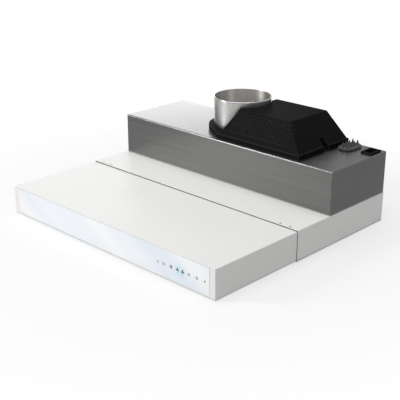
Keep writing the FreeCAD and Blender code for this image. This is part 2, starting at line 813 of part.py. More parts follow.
COVER_LEFT = f"({FAN_X} - cover_left)"
COVER_RIGHT = f"({FAN_X} + cover_right)"
COVER_FRONT = f"({BOX_FRONT} + cover_front_setback)"
COVER_BACK = f"({BACK} - cover_back_setback)"
PLINTH_TOP = f"({BOX_TOP} + cover_plinth)"
COVER_TOP = f"({BOX_TOP} + cover_height)"
HOOD_LEFT = f"({COVER_LEFT} + cover_shelf)"
HOOD_RIGHT = f"({COVER_RIGHT} - cover_shelf)"
HOOD_FRONT = f"({COVER_FRONT} + cover_shelf)"
HOOD_BACK = f"({COVER_BACK} - cover_shelf)"
SLANT_WALL = "(cover_wall * 1.25)"
NOTCH_X = f"({COVER_RIGHT} - notch_depth)"
NOTCH_BACK = f"({BACK} - notch_from_wall)"
NOTCH_FRONT = f"({NOTCH_BACK} - notch_width)"


def cover_boss_places():
    """Centres of the three screw bosses; the ring round the collar holds the fourth corner."""
    right = f"({COVER_RIGHT} - cover_boss_inset)"
    left = f"({COVER_LEFT} + cover_boss_inset)"
    front = f"({COVER_FRONT} + cover_boss_inset)"
    back = f"({COVER_BACK} - cover_boss_inset)"
    return [(right, front), (right, back), (left, front)]


def tangent_place(corner_x, corner_y, radius):
    """Where a line from a corner touches the ring round the collar, on its front left."""
    run = f"({corner_x} - {COLLAR_X})"
    rise = f"({corner_y} - {COLLAR_Y})"
    reach = f"sqrt({run} ^ 2 + {rise} ^ 2)"
    turn = f"(atan2({rise}; {run}) - acos({radius} / {reach}))"
    return (f"{COLLAR_X} + {radius} * cos({turn})", f"{COLLAR_Y} + {radius} * sin({turn})")


def cover_plinth_plan(body, level, inset):
    """Two sketches that together make the plinth's plan: the ring and the straight part."""
    radius = f"(cover_ring_radius - {inset})"
    corner = (f"({COVER_LEFT} + {inset} / 2)", f"({COVER_FRONT} + {inset})")
    disc = new_sketch(body, "XY_Plane", level)
    circle(disc, COLLAR_X, COLLAR_Y, radius)
    plan = new_sketch(body, "XY_Plane", level)
    outline(plan, [
        corner,
        (f"{COVER_RIGHT} - {inset}", f"{COVER_FRONT} + {inset}"),
        (f"{COVER_RIGHT} - {inset}", f"{COVER_BACK} - {inset}"),
        (COLLAR_X, f"{COVER_BACK} - {inset}"),
        tangent_place(corner[0], corner[1], radius),
    ])
    return disc, plan


def cover_slopes(body, low, high, inset):
    """Lower and upper outlines of the four raked sides."""
    lower = new_sketch(body, "XY_Plane", low)
    rectangle(lower, (f"{HOOD_LEFT} + {inset}", f"{HOOD_RIGHT} - {inset}"),
              (f"{HOOD_FRONT} + {inset}", f"{HOOD_BACK} - {inset}"))
    upper = new_sketch(body, "XY_Plane", high)
    rectangle(upper, (f"{HOOD_LEFT} + cover_rake_left + {inset}",
                      f"{HOOD_RIGHT} - cover_rake_right - {inset}"),
              (f"{HOOD_FRONT} + cover_rake_front + {inset}",
               f"{HOOD_BACK} - cover_rake_back - {inset}"))
    return lower, upper


def make_cover_outside():
    body = new_body("motor_cover_outside")
    disc, plan = cover_plinth_plan(body, BOX_TOP, "0")
    pad(body, disc, "cover_plinth")
    pad(body, plan, "cover_plinth")
    lower, upper = cover_slopes(body, PLINTH_TOP, COVER_TOP, "0")
    loft(body, lower, upper)
    above = sheet.get("body_height") + sheet.get("fan_box_height") + sheet.get("cover_plinth") + 1
    round_edges(body, "cover_edge_round", lambda edge: edge.CenterOfMass.z > above)
    # the hole that the duct collar stands in
    sketch = new_sketch(body, "XY_Plane", COVER_TOP)
    circle(sketch, COLLAR_X, COLLAR_Y, f"{COLLAR_OUTER} + collar_bead + 0.4")
    pocket(body, sketch, "cover_height + 1")
    # the cable notch in the right slope
    sketch = new_sketch(body, "XY_Plane", f"{BOX_TOP} - 1")
    rectangle(sketch, (NOTCH_X, f"{COVER_RIGHT} + 1"), (NOTCH_FRONT, NOTCH_BACK))
    pocket(body, sketch, "notch_height + 1", flip=True)
    return body


def make_cover_hollow():
    """What is hollow in the cover: the room for the motor, less bosses, plus the vents."""
    body = new_body("motor_cover_hollow")
    below = f"({BOX_TOP} - 1)"
    disc, plan = cover_plinth_plan(body, below, "cover_wall")
    pad(body, disc, "cover_plinth + 1 - cover_wall")
    pad(body, plan, "cover_plinth + 1 - cover_wall")
    sketch = new_sketch(body, "XY_Plane", below)
    rectangle(sketch, (f"{HOOD_LEFT} + {SLANT_WALL}", f"{HOOD_RIGHT} - {SLANT_WALL}"),
              (f"{HOOD_FRONT} + {SLANT_WALL}", f"{HOOD_BACK} - {SLANT_WALL}"))
    pad(body, sketch, "cover_plinth + 1")
    lower, upper = cover_slopes(body, PLINTH_TOP, f"{COVER_TOP} - cover_wall", SLANT_WALL)
    loft(body, lower, upper)
    # the walls of the cable notch stay
    sketch = new_sketch(body, "XY_Plane", below)
    rectangle(sketch, (f"{NOTCH_X} - cover_wall", f"{COVER_RIGHT} + 1"),
              (f"{NOTCH_FRONT} - cover_wall", f"{NOTCH_BACK} + cover_wall"))
    pocket(body, sketch, "notch_height + 1 + cover_wall", flip=True)
    # the screw bosses stay
    sketch = new_sketch(body, "XY_Plane", below)
    for x, y in cover_boss_places():
        circle(sketch, x, y, "cover_boss_radius")
    pocket(body, sketch, "cover_plinth + 14", flip=True)
    # vents in the front slope
    slope_low = f"({PLINTH_TOP} + vent_bottom_margin)"
    slope_high = f"({COVER_TOP} - vent_top_margin)"
    middle = f"((({HOOD_LEFT} + cover_rake_left) + ({HOOD_RIGHT} - cover_rake_right)) / 2 + 6)"
    first = f"({middle} - vent_pitch * (vent_count - 1) / 2)"
    sketch = new_sketch(body, "XZ_Plane", f"0 - {COVER_FRONT} + 1")
    rectangle(sketch, (f"{first} - vent_width / 2", f"{first} + vent_width / 2"),
              (slope_low, slope_high))
    vent = pad(body, sketch, "cover_rake_front + cover_shelf + 6", flip=True)
    row_of(body, vent, "X_Axis", "vent_pitch", "vent_count")
    return body


def make_motor_cover():
    """Black moulded cover over the motor, with a ring that goes round the duct collar."""
    shell = cut("motor_cover_shell", make_cover_outside(), make_cover_hollow())
    pilots = []
    for index, (x, y) in enumerate(cover_boss_places()):
        pilots.append(rod(f"cover_pilot_{index}", "screw_radius", (x, y),
                          (f"{BOX_TOP} - 1", f"{BOX_TOP} + 9")))
    return node(cut("motor_cover_form", shell, *pilots), "motor_cover")


def screw(name, x, y, seat, reach, up):
    """A screw along Z: its head on one side of a seat, its shank on the other."""
    head_far = f"{seat} - screw_head_height" if up else f"{seat} + screw_head_height"
    tip = f"{seat} + {reach}" if up else f"{seat} - {reach}"
    head_span = (head_far, seat) if up else (seat, head_far)
    shank_span = (seat, tip) if up else (tip, seat)
    head = rod(f"{name}_head", "screw_head_radius", (x, y), head_span)
    shank = rod(f"{name}_shank", "screw_radius - 0.05", (x, y), shank_span)
    return fuse(name, head, shank)


def make_cover_screws():
    screws = []
    for index, (x, y) in enumerate(cover_boss_places()):
        screws.append(screw(f"cover_screw_{index}", x, y, BOX_CEILING, "(box_sheet + 8)", True))
    return node(group("cover_screws_form", *screws), "cover_screws")


# ---------------------------------------------------------------- fan

def spiral_face(extra):
    """Plan of the scroll round the wheel: its radius grows steadily to the outlet."""
    start = sheet.get("impeller_radius") + sheet.get("scroll_tongue") + extra
    growth = sheet.get("scroll_growth")
    step = math.radians(15)
    first = math.radians(150)
    count = 20
    places = []
    for i in range(count + 1):
        radius = start + growth * i / count
        angle = first + step * i
        places.append(FreeCAD.Vector(radius * math.cos(angle), radius * math.sin(angle), 0))
    edges = []
    for i in range(0, count, 2):
        edges.append(Part.Arc(places[i], places[i + 1], places[i + 2]).toShape())
    edges.append(Part.LineSegment(places[-1], places[0]).toShape())
    return Part.Face(Part.Wire(edges))


def fan_x():
    return sheet.get("hood_width") / 2 - sheet.get("fan_offset")


def scroll_solid(extra, low, high):
    """Scroll, outlet channel and the chamber under the collar as one upright solid."""
    back = (sheet.get("drawer_reach") + sheet.get("body_depth")) / 2
    fan = FreeCAD.Vector(fan_x(), back - sheet.get("fan_box_depth") / 2, low)
    reach = sheet.get("impeller_radius") + sheet.get("scroll_tongue") + sheet.get("scroll_growth")
    chamber_radius = sheet.get("collar_radius") + sheet.get("scroll_chamber_gap")
    outlet_wall = fan.y + reach
    chamber = FreeCAD.Vector(fan_x() - sheet.get("collar_offset"), outlet_wall - chamber_radius, low)
    rise = high - low
    spiral = spiral_face(extra)
    spiral.translate(fan)
    scroll = spiral.extrude(FreeCAD.Vector(0, 0, rise))
    room = Part.makeCylinder(chamber_radius + extra, rise, chamber)
    channel_low = fan.y + sheet.get("impeller_radius") * 0.6 - extra
    channel = Part.makeBox(fan.x - chamber.x, outlet_wall + extra - channel_low, rise,
                           FreeCAD.Vector(chamber.x, channel_low, low))
    return scroll.fuse([room, channel]).removeSplitter()


def make_scroll_housing():
    """Black plastic scroll: floor with a bell mouth, spiral wall, chamber under the collar."""
    wall = sheet.get("scroll_wall")
    low = sheet.get("body_height")
    top = low + sheet.get("fan_box_height") - sheet.get("box_sheet")
    top = top - sheet.get("scroll_top_gap") - wall
    back = (sheet.get("drawer_reach") + sheet.get("body_depth")) / 2
    fan = FreeCAD.Vector(fan_x(), back - sheet.get("fan_box_depth") / 2, low)
    throat = sheet.get("inlet_throat")
    solid = scroll_solid(wall, low, top).cut(scroll_solid(0, low + wall, top + 1))
    mouth = Part.makeCylinder(throat + wall, wall + sheet.get("inlet_lip"), fan)
    hole = Part.makeCylinder(throat, wall + sheet.get("inlet_lip") + 2, fan - FreeCAD.Vector(0, 0, 1))
    piece = doc.addObject("Part::Feature", "scroll_housing_form")
    piece.Shape = solid.fuse(mouth).cut(hole)
    return node(piece, "scroll_housing")


def make_scroll_lid():
    """Lid on the scroll, with the hub's hole and the outlet under the collar."""
    wall = sheet.get("scroll_wall")
    high = sheet.get("body_height") + sheet.get("fan_box_height") - sheet.get("box_sheet")
    high = high - sheet.get("scroll_top_gap")
    back = (sheet.get("drawer_reach") + sheet.get("body_depth")) / 2
    fan = FreeCAD.Vector(fan_x(), back - sheet.get("fan_box_depth") / 2, high - wall - 1)
    collar = FreeCAD.Vector(fan_x() - sheet.get("collar_offset"), back - sheet.get("collar_to_wall"), fan.z)
    plate = scroll_solid(wall, high - wall, high)
    hub_hole = Part.makeCylinder(sheet.get("hub_radius") + 1, wall + 2, fan)
    outlet = Part.makeCylinder(sheet.get("collar_radius"), wall + 2, collar)
    piece = doc.addObject("Part::Feature", "scroll_lid_form")
    piece.Shape = plate.cut([hub_hole, outlet])
    return node(piece, "scroll_lid")


def make_fan_guard():
    """Finger guard in the fan's throat: rings joined by spokes."""
    low = "(body_height + 0.2)"
    high = f"({low} + guard_sheet)"
    outer = "(inlet_throat - guard_gap)"
    parts = [rod("guard_centre", "inlet_throat * 0.2", (FAN_X, FAN_Y), (low, high))]
    for index, share in enumerate(("0.4", "0.6", "0.8")):
        radius = f"(inlet_throat * {share})"
        parts.append(ring(f"guard_ring_{index}", f"{radius} - 0.8", f"{radius} + 0.8",
                          (FAN_X, FAN_Y), (low, high)))
    parts.append(ring("guard_rim", f"{outer} - 3", outer, (FAN_X, FAN_Y), (low, high)))
    for index in range(3):
        spoke = doc.addObject("Part::Box", f"guard_spoke_{index}")
        bind(spoke, "Length", f"2 * {outer} - 3")
        bind(spoke, "Width", "2")
        bind(spoke, "Height", "guard_sheet")
        angle = 60 * index + 15
        turn = FreeCAD.Rotation(FreeCAD.Vector(0, 0, 1), angle)
        spoke.Placement = FreeCAD.Placement(FreeCAD.Vector(), turn)
        half = f"({outer} - 1.5)"
        bind(spoke, ".Placement.Base.x", f"{FAN_X} - {half} * cos({angle}) + sin({angle})")
        bind(spoke, ".Placement.Base.y", f"{FAN_Y} - {half} * sin({angle}) - cos({angle})")
        bind(spoke, ".Placement.Base.z", low)
        parts.append(spoke)
    return node(fuse("fan_guard_form", *parts), "fan_guard")


def make_impeller():
    """Fan wheel: back plate and hub above, forward-curved blades, a ring at the inlet."""
    body = new_body("impeller_form")
    plate_low = f"{IMPELLER_TOP} - impeller_plate"
    bore = "(shaft_radius + 0.02)"
    sketch = new_sketch(body, "XZ_Plane")
    outline(sketch, [
        (bore, f"{IMPELLER_TOP} - hub_height"),
        ("hub_radius - 3", f"{IMPELLER_TOP} - hub_height"),
        ("hub_radius", f"{IMPELLER_TOP} - hub_height / 2"),
        ("hub_radius", plate_low),
        ("impeller_radius", plate_low),
        ("impeller_radius", IMPELLER_TOP),
        (bore, IMPELLER_TOP),
    ])
    revolve(body, sketch)
    sketch = new_sketch(body, "XY_Plane", IMPELLER_LOW)
    inner = "(impeller_radius - blade_depth)"
    outline(sketch, [
        (inner, "0"),
        (f"impeller_radius - 1.2", "5"),
        (f"impeller_radius - 1.2", "5 + blade_sheet"),
        (inner, "blade_sheet"),
    ])
    blade = pad(body, sketch, "impeller_height - impeller_plate / 2")
    wheel_of(body, blade, "blade_count")
    sketch = new_sketch(body, "XY_Plane", IMPELLER_LOW)
    circle(sketch, "0", "0", "impeller_radius")
    circle(sketch, "0", "0", f"{inner} + 3")
    pad(body, sketch, "impeller_plate * 1.5")
    stand_at(body, FAN_X, FAN_Y)
    return node(body, "impeller")


def make_motor_shaft():
    """Steel shaft: it carries the wheel below and the rotor core above."""
    low = f"{IMPELLER_TOP} - hub_height - 8"
    high = f"{MOTOR_TOP} + 1"
    return node(rod("motor_shaft_form", "shaft_radius", (FAN_X, FAN_Y), (low, high)), "motor_shaft")


def make_impeller_nut():
    """Hexagon nut under the hub."""
    body = new_body("impeller_nut_form")
    sketch = new_sketch(body, "XY_Plane", f"{IMPELLER_TOP} - hub_height - 6")
    points = []
    for i in range(6):
        points.append((f"shaft_radius * 1.8 * cos({60 * i})", f"shaft_radius * 1.8 * sin({60 * i})"))
    outline(sketch, points)
    circle(sketch, "0", "0", "shaft_radius + 0.02")
    pad(body, sketch, "6")
    stand_at(body, FAN_X, FAN_Y)
    return node(body, "impeller_nut")


# ---------------------------------------------------------------- motor

CORE_LOW = f"({MOTOR_LOW} + bearing_height + motor_wall + 2)"
CORE_HIGH = f"({MOTOR_TOP} - bearing_height - motor_wall - 2)"
MOTOR_SPLIT = f"(({MOTOR_LOW} + {MOTOR_TOP}) / 2)"


def motor_ear_places():
    """Centres of the three screw ears round the motor's foot."""
    reach = "(motor_radius + motor_ear_radius * 0.3)"
    places = []
    for angle in (30, 150, 270):
        places.append((f"({FAN_X} + {reach} * cos({angle}))", f"({FAN_Y} + {reach} * sin({angle}))"))
    return places


def make_motor_base():
    """Lower half of the motor's casing, with the lower bearing's seat and three ears."""
    cup = rod("motor_base_cup", "motor_radius", (FAN_X, FAN_Y), (MOTOR_LOW, MOTOR_SPLIT))
    hollow = rod("motor_base_hollow", "motor_radius - motor_wall", (FAN_X, FAN_Y),
                 (f"{MOTOR_LOW} + motor_wall", f"{MOTOR_SPLIT} + 1"))
    seat = rod("motor_base_seat", "bearing_radius + motor_wall", (FAN_X, FAN_Y),
               (MOTOR_LOW, f"{MOTOR_LOW} + bearing_height + motor_wall"))
    socket = rod("motor_base_socket", "bearing_radius + 0.02", (FAN_X, FAN_Y),
                 (f"{MOTOR_LOW} + motor_wall", f"{MOTOR_LOW} + bearing_height + motor_wall + 1"))
    bore = rod("motor_base_bore", "shaft_radius + 2", (FAN_X, FAN_Y),
               (f"{MOTOR_LOW} - 1", f"{MOTOR_LOW} + bearing_height"))
    ears = []
    holes = []
    for index, (x, y) in enumerate(motor_ear_places()):
        ears.append(rod(f"motor_ear_{index}", "motor_ear_radius", (x, y),
                        (MOTOR_LOW, f"{MOTOR_LOW} + motor_wall")))
        holes.append(rod(f"motor_ear_hole_{index}", "screw_radius + screw_gap", (x, y),
                         (f"{MOTOR_LOW} - 1", f"{MOTOR_LOW} + motor_wall + 1")))
        holes.append(rod(f"motor_ear_relief_{index}", "screw_head_radius + 0.6", (x, y),
                         (f"{MOTOR_LOW} + motor_wall", f"{MOTOR_SPLIT} + 1")))
    shell = cut("motor_base_shell", fuse("motor_base_outer", cup, *ears), hollow)
    solid = fuse("motor_base_solid", shell, seat)
    return node(cut("motor_base_form", solid, socket, bore, *holes), "motor_base")


def make_motor_cap():
    """Upper half of the motor's casing, with the upper bearing's seat."""
    cup = rod("motor_cap_cup", "motor_radius", (FAN_X, FAN_Y), (MOTOR_SPLIT, MOTOR_TOP))
    hollow = rod("motor_cap_hollow", "motor_radius - motor_wall", (FAN_X, FAN_Y),
                 (f"{MOTOR_SPLIT} - 1", f"{MOTOR_TOP} - motor_wall"))
    seat = rod("motor_cap_seat", "bearing_radius + motor_wall", (FAN_X, FAN_Y),
               (f"{MOTOR_TOP} - bearing_height - motor_wall", MOTOR_TOP))
    socket = rod("motor_cap_socket", "bearing_radius + 0.02", (FAN_X, FAN_Y),
                 (f"{MOTOR_TOP} - bearing_height - motor_wall - 1", f"{MOTOR_TOP} - motor_wall"))
    bore = rod("motor_cap_bore", "shaft_radius + 2", (FAN_X, FAN_Y),
               (f"{MOTOR_TOP} - bearing_height", f"{MOTOR_TOP} + 1"))
    shell = cut("motor_cap_shell", cup, hollow)
    solid = fuse("motor_cap_solid", shell, seat)
    return node(cut("motor_cap_form", solid, socket, bore), "motor_cap")


def make_motor_bearings():
    """Two ball bearings, drawn as closed rings, that carry the shaft."""
    low = (f"{MOTOR_LOW} + motor_wall", f"{MOTOR_LOW} + motor_wall + bearing_height")
    high = (f"{MOTOR_TOP} - motor_wall - bearing_height", f"{MOTOR_TOP} - motor_wall")
    rings = []
    for index, span in enumerate((low, high)):
        rings.append(ring(f"bearing_{index}", "shaft_radius + running_gap", "bearing_radius",
                          (FAN_X, FAN_Y), span))
    return node(group("motor_bearings_form", *rings), "motor_bearings")


def make_stator():
    """Laminated stator with its windings, drawn as one ring inside the casing."""
    outer = "(motor_radius - motor_wall - 0.1)"
    core = ring("stator_core", "rotor_core_radius + motor_air_gap", outer, (FAN_X, FAN_Y),
                (CORE_LOW, CORE_HIGH))
    reliefs = []
    for index, (x, y) in enumerate(motor_ear_places()):
        reliefs.append(rod(f"stator_relief_{index}", "screw_head_radius + 1", (x, y),
                           (f"{CORE_LOW} - 1", f"{CORE_HIGH} + 1")))
    return node(cut("stator_form", core, *reliefs), "stator")


def make_rotor_core():
    """Squirrel-cage core pressed on the shaft."""
    core = ring("rotor_core_form", "shaft_radius + 0.02", "rotor_core_radius", (FAN_X, FAN_Y),
                (CORE_LOW, CORE_HIGH))
    return node(core, "rotor_core")


def make_motor_dampers():
    """Three rubber rings between the motor's ears and the steel roof."""
    rings = []
    for index, (x, y) in enumerate(motor_ear_places()):
        rings.append(ring(f"damper_{index}", "screw_radius + screw_gap", "motor_ear_radius", (x, y),
                          (BOX_TOP, MOTOR_LOW)))
    return node(group("motor_dampers_form", *rings), "motor_dampers")


def make_motor_screws():
    screws = []
    for index, (x, y) in enumerate(motor_ear_places()):
        screws.append(screw(f"motor_screw_{index}", x, y, f"({MOTOR_LOW} + motor_wall)",
                            "(motor_wall + motor_foot + box_sheet)", False))
    return node(group("motor_screws_form", *screws), "motor_screws")


# ---------------------------------------------------------------- electrical parts

CONTROL_RIGHT = f"({HALF} - box_sheet - control_box_gap)"
CONTROL_LEFT = f"({CONTROL_RIGHT} - control_box_width)"
CONTROL_BACK = f"({BACK} - box_sheet - box_flange - 3)"
CONTROL_FRONT = f"({CONTROL_BACK} - control_box_depth)"
CONTROL_TOP = "(body_height + control_box_height)"
DRIVER_X = f"(driver_offset - {HALF})"
# the capacitor stands about halfway between the lamp driver and the scroll's chamber
CAPACITOR_X = f"(({DRIVER_X} + driver_width / 2 + {CHAMBER_LEFT} - scroll_wall) / 2 - capacitor_offset)"


def make_control_box():
    """Tray that holds the control board inside the fan box."""
    outer = block("control_tray", (CONTROL_LEFT, CONTROL_RIGHT), (CONTROL_FRONT, CONTROL_BACK),
                  ("body_height", f"{CONTROL_TOP} - plastic_wall"))
    inner = block("control_room", (f"{CONTROL_LEFT} + plastic_wall", f"{CONTROL_RIGHT} - plastic_wall"),
                  (f"{CONTROL_FRONT} + plastic_wall", f"{CONTROL_BACK} - plastic_wall"),
                  ("body_height + plastic_wall", f"{CONTROL_TOP} + 1"))
    return node(cut("control_box_form", outer, inner), "control_box")


def make_control_lid():
    plate = block("control_lid_plate", (CONTROL_LEFT, CONTROL_RIGHT), (CONTROL_FRONT, CONTROL_BACK),
                  (f"{CONTROL_TOP} - plastic_wall", CONTROL_TOP))
    rim = block("control_lid_rim", (f"{CONTROL_LEFT} + plastic_wall + 0.2", f"{CONTROL_RIGHT} - plastic_wall - 0.2"),
                (f"{CONTROL_FRONT} + plastic_wall + 0.2", f"{CONTROL_BACK} - plastic_wall - 0.2"),
                (f"{CONTROL_TOP} - plastic_wall - 3", f"{CONTROL_TOP} - plastic_wall"))
    room = block("control_lid_room", (f"{CONTROL_LEFT} + 2 * plastic_wall", f"{CONTROL_RIGHT} - 2 * plastic_wall"),
                 (f"{CONTROL_FRONT} + 2 * plastic_wall", f"{CONTROL_BACK} - 2 * plastic_wall"),
                 (f"{CONTROL_TOP} - plastic_wall - 4", f"{CONTROL_TOP} - plastic_wall"))
    return node(cut("control_box_lid_form", fuse("control_lid_solid", plate, rim), room), "control_box_lid")


def make_control_board():
    """Circuit board on the tray's floor, with its relays and transformer."""
    inset = "(plastic_wall + 0.5)"
    floor = "(body_height + plastic_wall)"
    board = block("control_board_plate", (f"{CONTROL_LEFT} + {inset}", f"{CONTROL_RIGHT} - {inset}"),
                  (f"{CONTROL_FRONT} + {inset}", f"{CONTROL_BACK} - {inset}"),
                  (floor, f"{floor} + board_sheet"))
    top = f"({floor} + board_sheet)"
    transformer = block("control_transformer", (f"{CONTROL_LEFT} + 12", f"{CONTROL_LEFT} + 50"),
                        (f"{CONTROL_FRONT} + 15", f"{CONTROL_FRONT} + 50"), (top, f"{top} + 32"))
    parts = [board, transformer]
    for index in range(3):
        start = f"({CONTROL_FRONT} + {64 + 22 * index})"
        parts.append(block(f"control_relay_{index}", (f"{CONTROL_LEFT} + 12", f"{CONTROL_LEFT} + 32"),
                           (start, f"{start} + 15"), (top, f"{top} + 16")))
    return node(fuse("control_board_form", *parts), "control_board")


def make_run_capacitor():
    """Motor capacitor lying in a cradle on the body's roof, inside the fan box."""
    low = "(body_height + 3)"
    can = rod("capacitor_can", "capacitor_radius", (CAPACITOR_X, f"{low} + capacitor_radius"),
              (f"{FAN_Y} - capacitor_length / 2", f"{FAN_Y} + capacitor_length / 2"), "Y")
    cradle = block("capacitor_cradle",
                   (f"{CAPACITOR_X} - capacitor_radius * 0.7", f"{CAPACITOR_X} + capacitor_radius * 0.7"),
                   (f"{FAN_Y} - capacitor_length / 3", f"{FAN_Y} + capacitor_length / 3"),
                   ("body_height", f"{low} + capacitor_radius * 0.5"))
    return node(fuse("run_capacitor_form", can, cradle), "run_capacitor")


def make_lamp_driver():
    """Closed driver for the lamps, on the body's roof inside the fan box."""
    case = block("lamp_driver_case",
                 (f"{DRIVER_X} - driver_width / 2", f"{DRIVER_X} + driver_width / 2"),
                 (f"{FAN_Y} - driver_depth / 2", f"{FAN_Y} + driver_depth / 2"),
                 ("body_height", "body_height + driver_height"))
    return node(case, "lamp_driver")


def make_cable_grommet():
    """Grey rubber grommet with a row of closed cone nipples on each side."""
    body = new_body("cable_grommet_form")
    sketch = new_sketch(body, "XY_Plane", BOX_TOP)
    obround(sketch, GROMMET_X, GROMMET_Y, "grommet_width", "grommet_length")
    pad(body, sketch, "grommet_height")
    top = sheet.get("body_height") + sheet.get("fan_box_height") + sheet.get("grommet_height")
    round_edges(body, "grommet_height / 3", lambda edge: abs(edge.CenterOfMass.z - top) < 0.01)
    sketch = new_sketch(body, "XY_Plane", BOX_TOP)
    obround(sketch, GROMMET_X, GROMMET_Y, f"{GROMMET_HOLE_WIDTH} - 0.4", f"{GROMMET_HOLE_LENGTH} - 0.4")
    pad(body, sketch, "box_sheet + 0.3", flip=True)
    sketch = new_sketch(body, "XY_Plane", f"{BOX_CEILING} - 0.3")
    obround(sketch, GROMMET_X, GROMMET_Y, "grommet_width - grommet_neck", "grommet_length - grommet_neck")
    pad(body, sketch, "grommet_height / 2", flip=True)
    cones = []
    for column, sign in enumerate(("-", "+")):
        for row in range(4):
            cone = doc.addObject("Part::Cone", f"nipple_{column}_{row}")
            bind(cone, "Radius1", "nipple_radius")
            bind(cone, "Radius2", "nipple_radius * 0.18")
            bind(cone, "Height", "nipple_height + 1")
            stand_at(cone, f"{GROMMET_X} {sign} nipple_pitch / 2",
                     f"{GROMMET_Y} + nipple_pitch * {row - 1.5}", f"{BOX_TOP} + grommet_height - 1")
            cones.append(cone)
    return node(fuse("cable_grommet_whole", body, *cones), "cable_grommet")


def make_connector_socket():
    """Black connector socket in the steel roof, with an open well."""
    body = new_body("connector_socket_form")
    half_width = "socket_width / 2"
    half_length = "socket_length / 2"
    sketch = new_sketch(body, "XY_Plane", BOX_TOP)
    rectangle(sketch, (f"{SOCKET_X} - {half_width}", f"{SOCKET_X} + {half_width}"),
              (f"{SOCKET_Y} - {half_length}", f"{SOCKET_Y} + {half_length}"))
    pad(body, sketch, "socket_rim")
    level = sheet.get("body_height") + sheet.get("fan_box_height") + 0.1
    round_edges(body, "socket_rim / 4", lambda edge: edge.CenterOfMass.z > level)
    neck = "(socket_rim / 2 + 0.2)"
    sketch = new_sketch(body, "XY_Plane", BOX_TOP)
    rectangle(sketch, (f"{SOCKET_X} - {half_width} + {neck}", f"{SOCKET_X} + {half_width} - {neck}"),
              (f"{SOCKET_Y} - {half_length} + {neck}", f"{SOCKET_Y} + {half_length} - {neck}"))
    pad(body, sketch, "socket_depth", flip=True)
    sketch = new_sketch(body, "XY_Plane", f"{BOX_TOP} + socket_rim")
    rectangle(sketch, (f"{SOCKET_X} - {half_width} + socket_wall", f"{SOCKET_X} + {half_width} - socket_wall"),
              (f"{SOCKET_Y} - {half_length} + socket_wall", f"{SOCKET_Y} + {half_length} - socket_wall"))
    pocket(body, sketch, "socket_rim + socket_depth - 3")
    return node(body, "connector_socket")


def make_socket_pins():
    """Four brass contact pins standing in the socket's well."""
    low = f"({BOX_TOP} - socket_depth + 3)"
    pins = []
    for index in range(4):
        pins.append(rod(f"socket_pin_{index}", "socket_pin_radius",
                        (SOCKET_X, f"{SOCKET_Y} + socket_length / 6 * {index - 1.5}"),
                        (low, f"{low} + socket_depth * 0.6")))
    return node(group("socket_pins_form", *pins), "socket_pins")


BUFFER_REACH = f"({DRAWER_REAR} + drawer_travel + buffer_gap)"
WALL_INSIDE = f"({BACK} - body_sheet)"


def make_drawer_switch():
    """Reed switch on the back wall that tells the fan when the drawer is shut."""
    x = "(0 - hood_width / 4)"
    case = block("drawer_switch_form", (f"{x} - switch_width / 2", f"{x} + switch_width / 2"),
                 (f"{BUFFER_REACH} + 1", WALL_INSIDE),
                 ("body_height / 2", "body_height / 2 + switch_height"))
    return node(case, "drawer_switch")


# ---------------------------------------------------------------- telescopic rails

def channel_profile(sketch, side, web_near, web_far, tip, half_outer, thickness):
    """C section standing on its web; the flanges run from the web to the tip."""
    z_low = f"rail_middle_height - {half_outer}"
    z_high = f"rail_middle_height + {half_outer}"
    points = [
        (web_near, z_low),
        (tip, z_low),
        (tip, f"{z_low} + {thickness}"),
        (web_far, f"{z_low} + {thickness}"),
        (web_far, f"{z_high} - {thickness}"),
        (tip, f"{z_high} - {thickness}"),
        (tip, z_high),
        (web_near, z_high),
    ]
    outline(sketch, [(f"{side} * ({x})", z) for x, z in points])


HALF_OUTER = "(rail_height / 2)"
HALF_MIDDLE = f"({HALF_OUTER} - rail_sheet - glide_height - glide_gap)"
HALF_INNER = f"({HALF_MIDDLE} - rail_sheet - glide_height - glide_gap)"
MIDDLE_X = f"({RAIL_X} + rail_sheet + rail_web_gap)"
OUTER_TIP = f"({RAIL_X} + rail_width * 0.7)"
MIDDLE_TIP = f"({SKIRT_IN} - rail_sheet - 1)"
INNER_TIP = f"({MIDDLE_X} + rail_sheet + rail_web_gap)"
OUTER_SPAN = (RAIL_FRONT, f"({RAIL_FRONT} + rail_length)")
MIDDLE_SPAN = (f"({RAIL_FRONT} - drawer_travel / 2)", f"({RAIL_FRONT} + rail_length - drawer_travel / 2)")
INNER_SPAN = (f"({RAIL_FRONT} - drawer_travel)", f"({RAIL_FRONT} + rail_length - drawer_travel)")


def make_rail(name, side, web_near, web_far, tip, half, span):
    body = new_body(f"{name}_form")
    sketch = new_sketch(body, "XZ_Plane", f"0 - {span[0]}")
    channel_profile(sketch, side, web_near, web_far, tip, half, "rail_sheet")
    pad(body, sketch, f"{span[1]} - {span[0]}", flip=True)
    return node(body, name)


def make_rail_bracket(name, side):
    """Angle that stands on the body's side lip and carries the fixed rail."""
    face = RAIL_X
    back = f"({RAIL_X} - bracket_sheet)"
    upright = block(f"{name}_upright", mirrored(side, back, face), OUTER_SPAN,
                    ("body_sheet", RAIL_TOP))
    foot = block(f"{name}_foot", mirrored(side, f"{RAIL_X} - bracket_foot", face), OUTER_SPAN,
                 ("body_sheet", "body_sheet + bracket_sheet"))
    holes = []
    for index, (x, y) in enumerate(foot_rivet_places()):
        holes.append(rod(f"{name}_hole_{index}", "rivet_radius + rivet_gap", (x, y),
                         ("0", "body_sheet + bracket_sheet + 1")))
    return node(cut(f"{name}_form", fuse(f"{name}_angle", upright, foot), *holes), name)


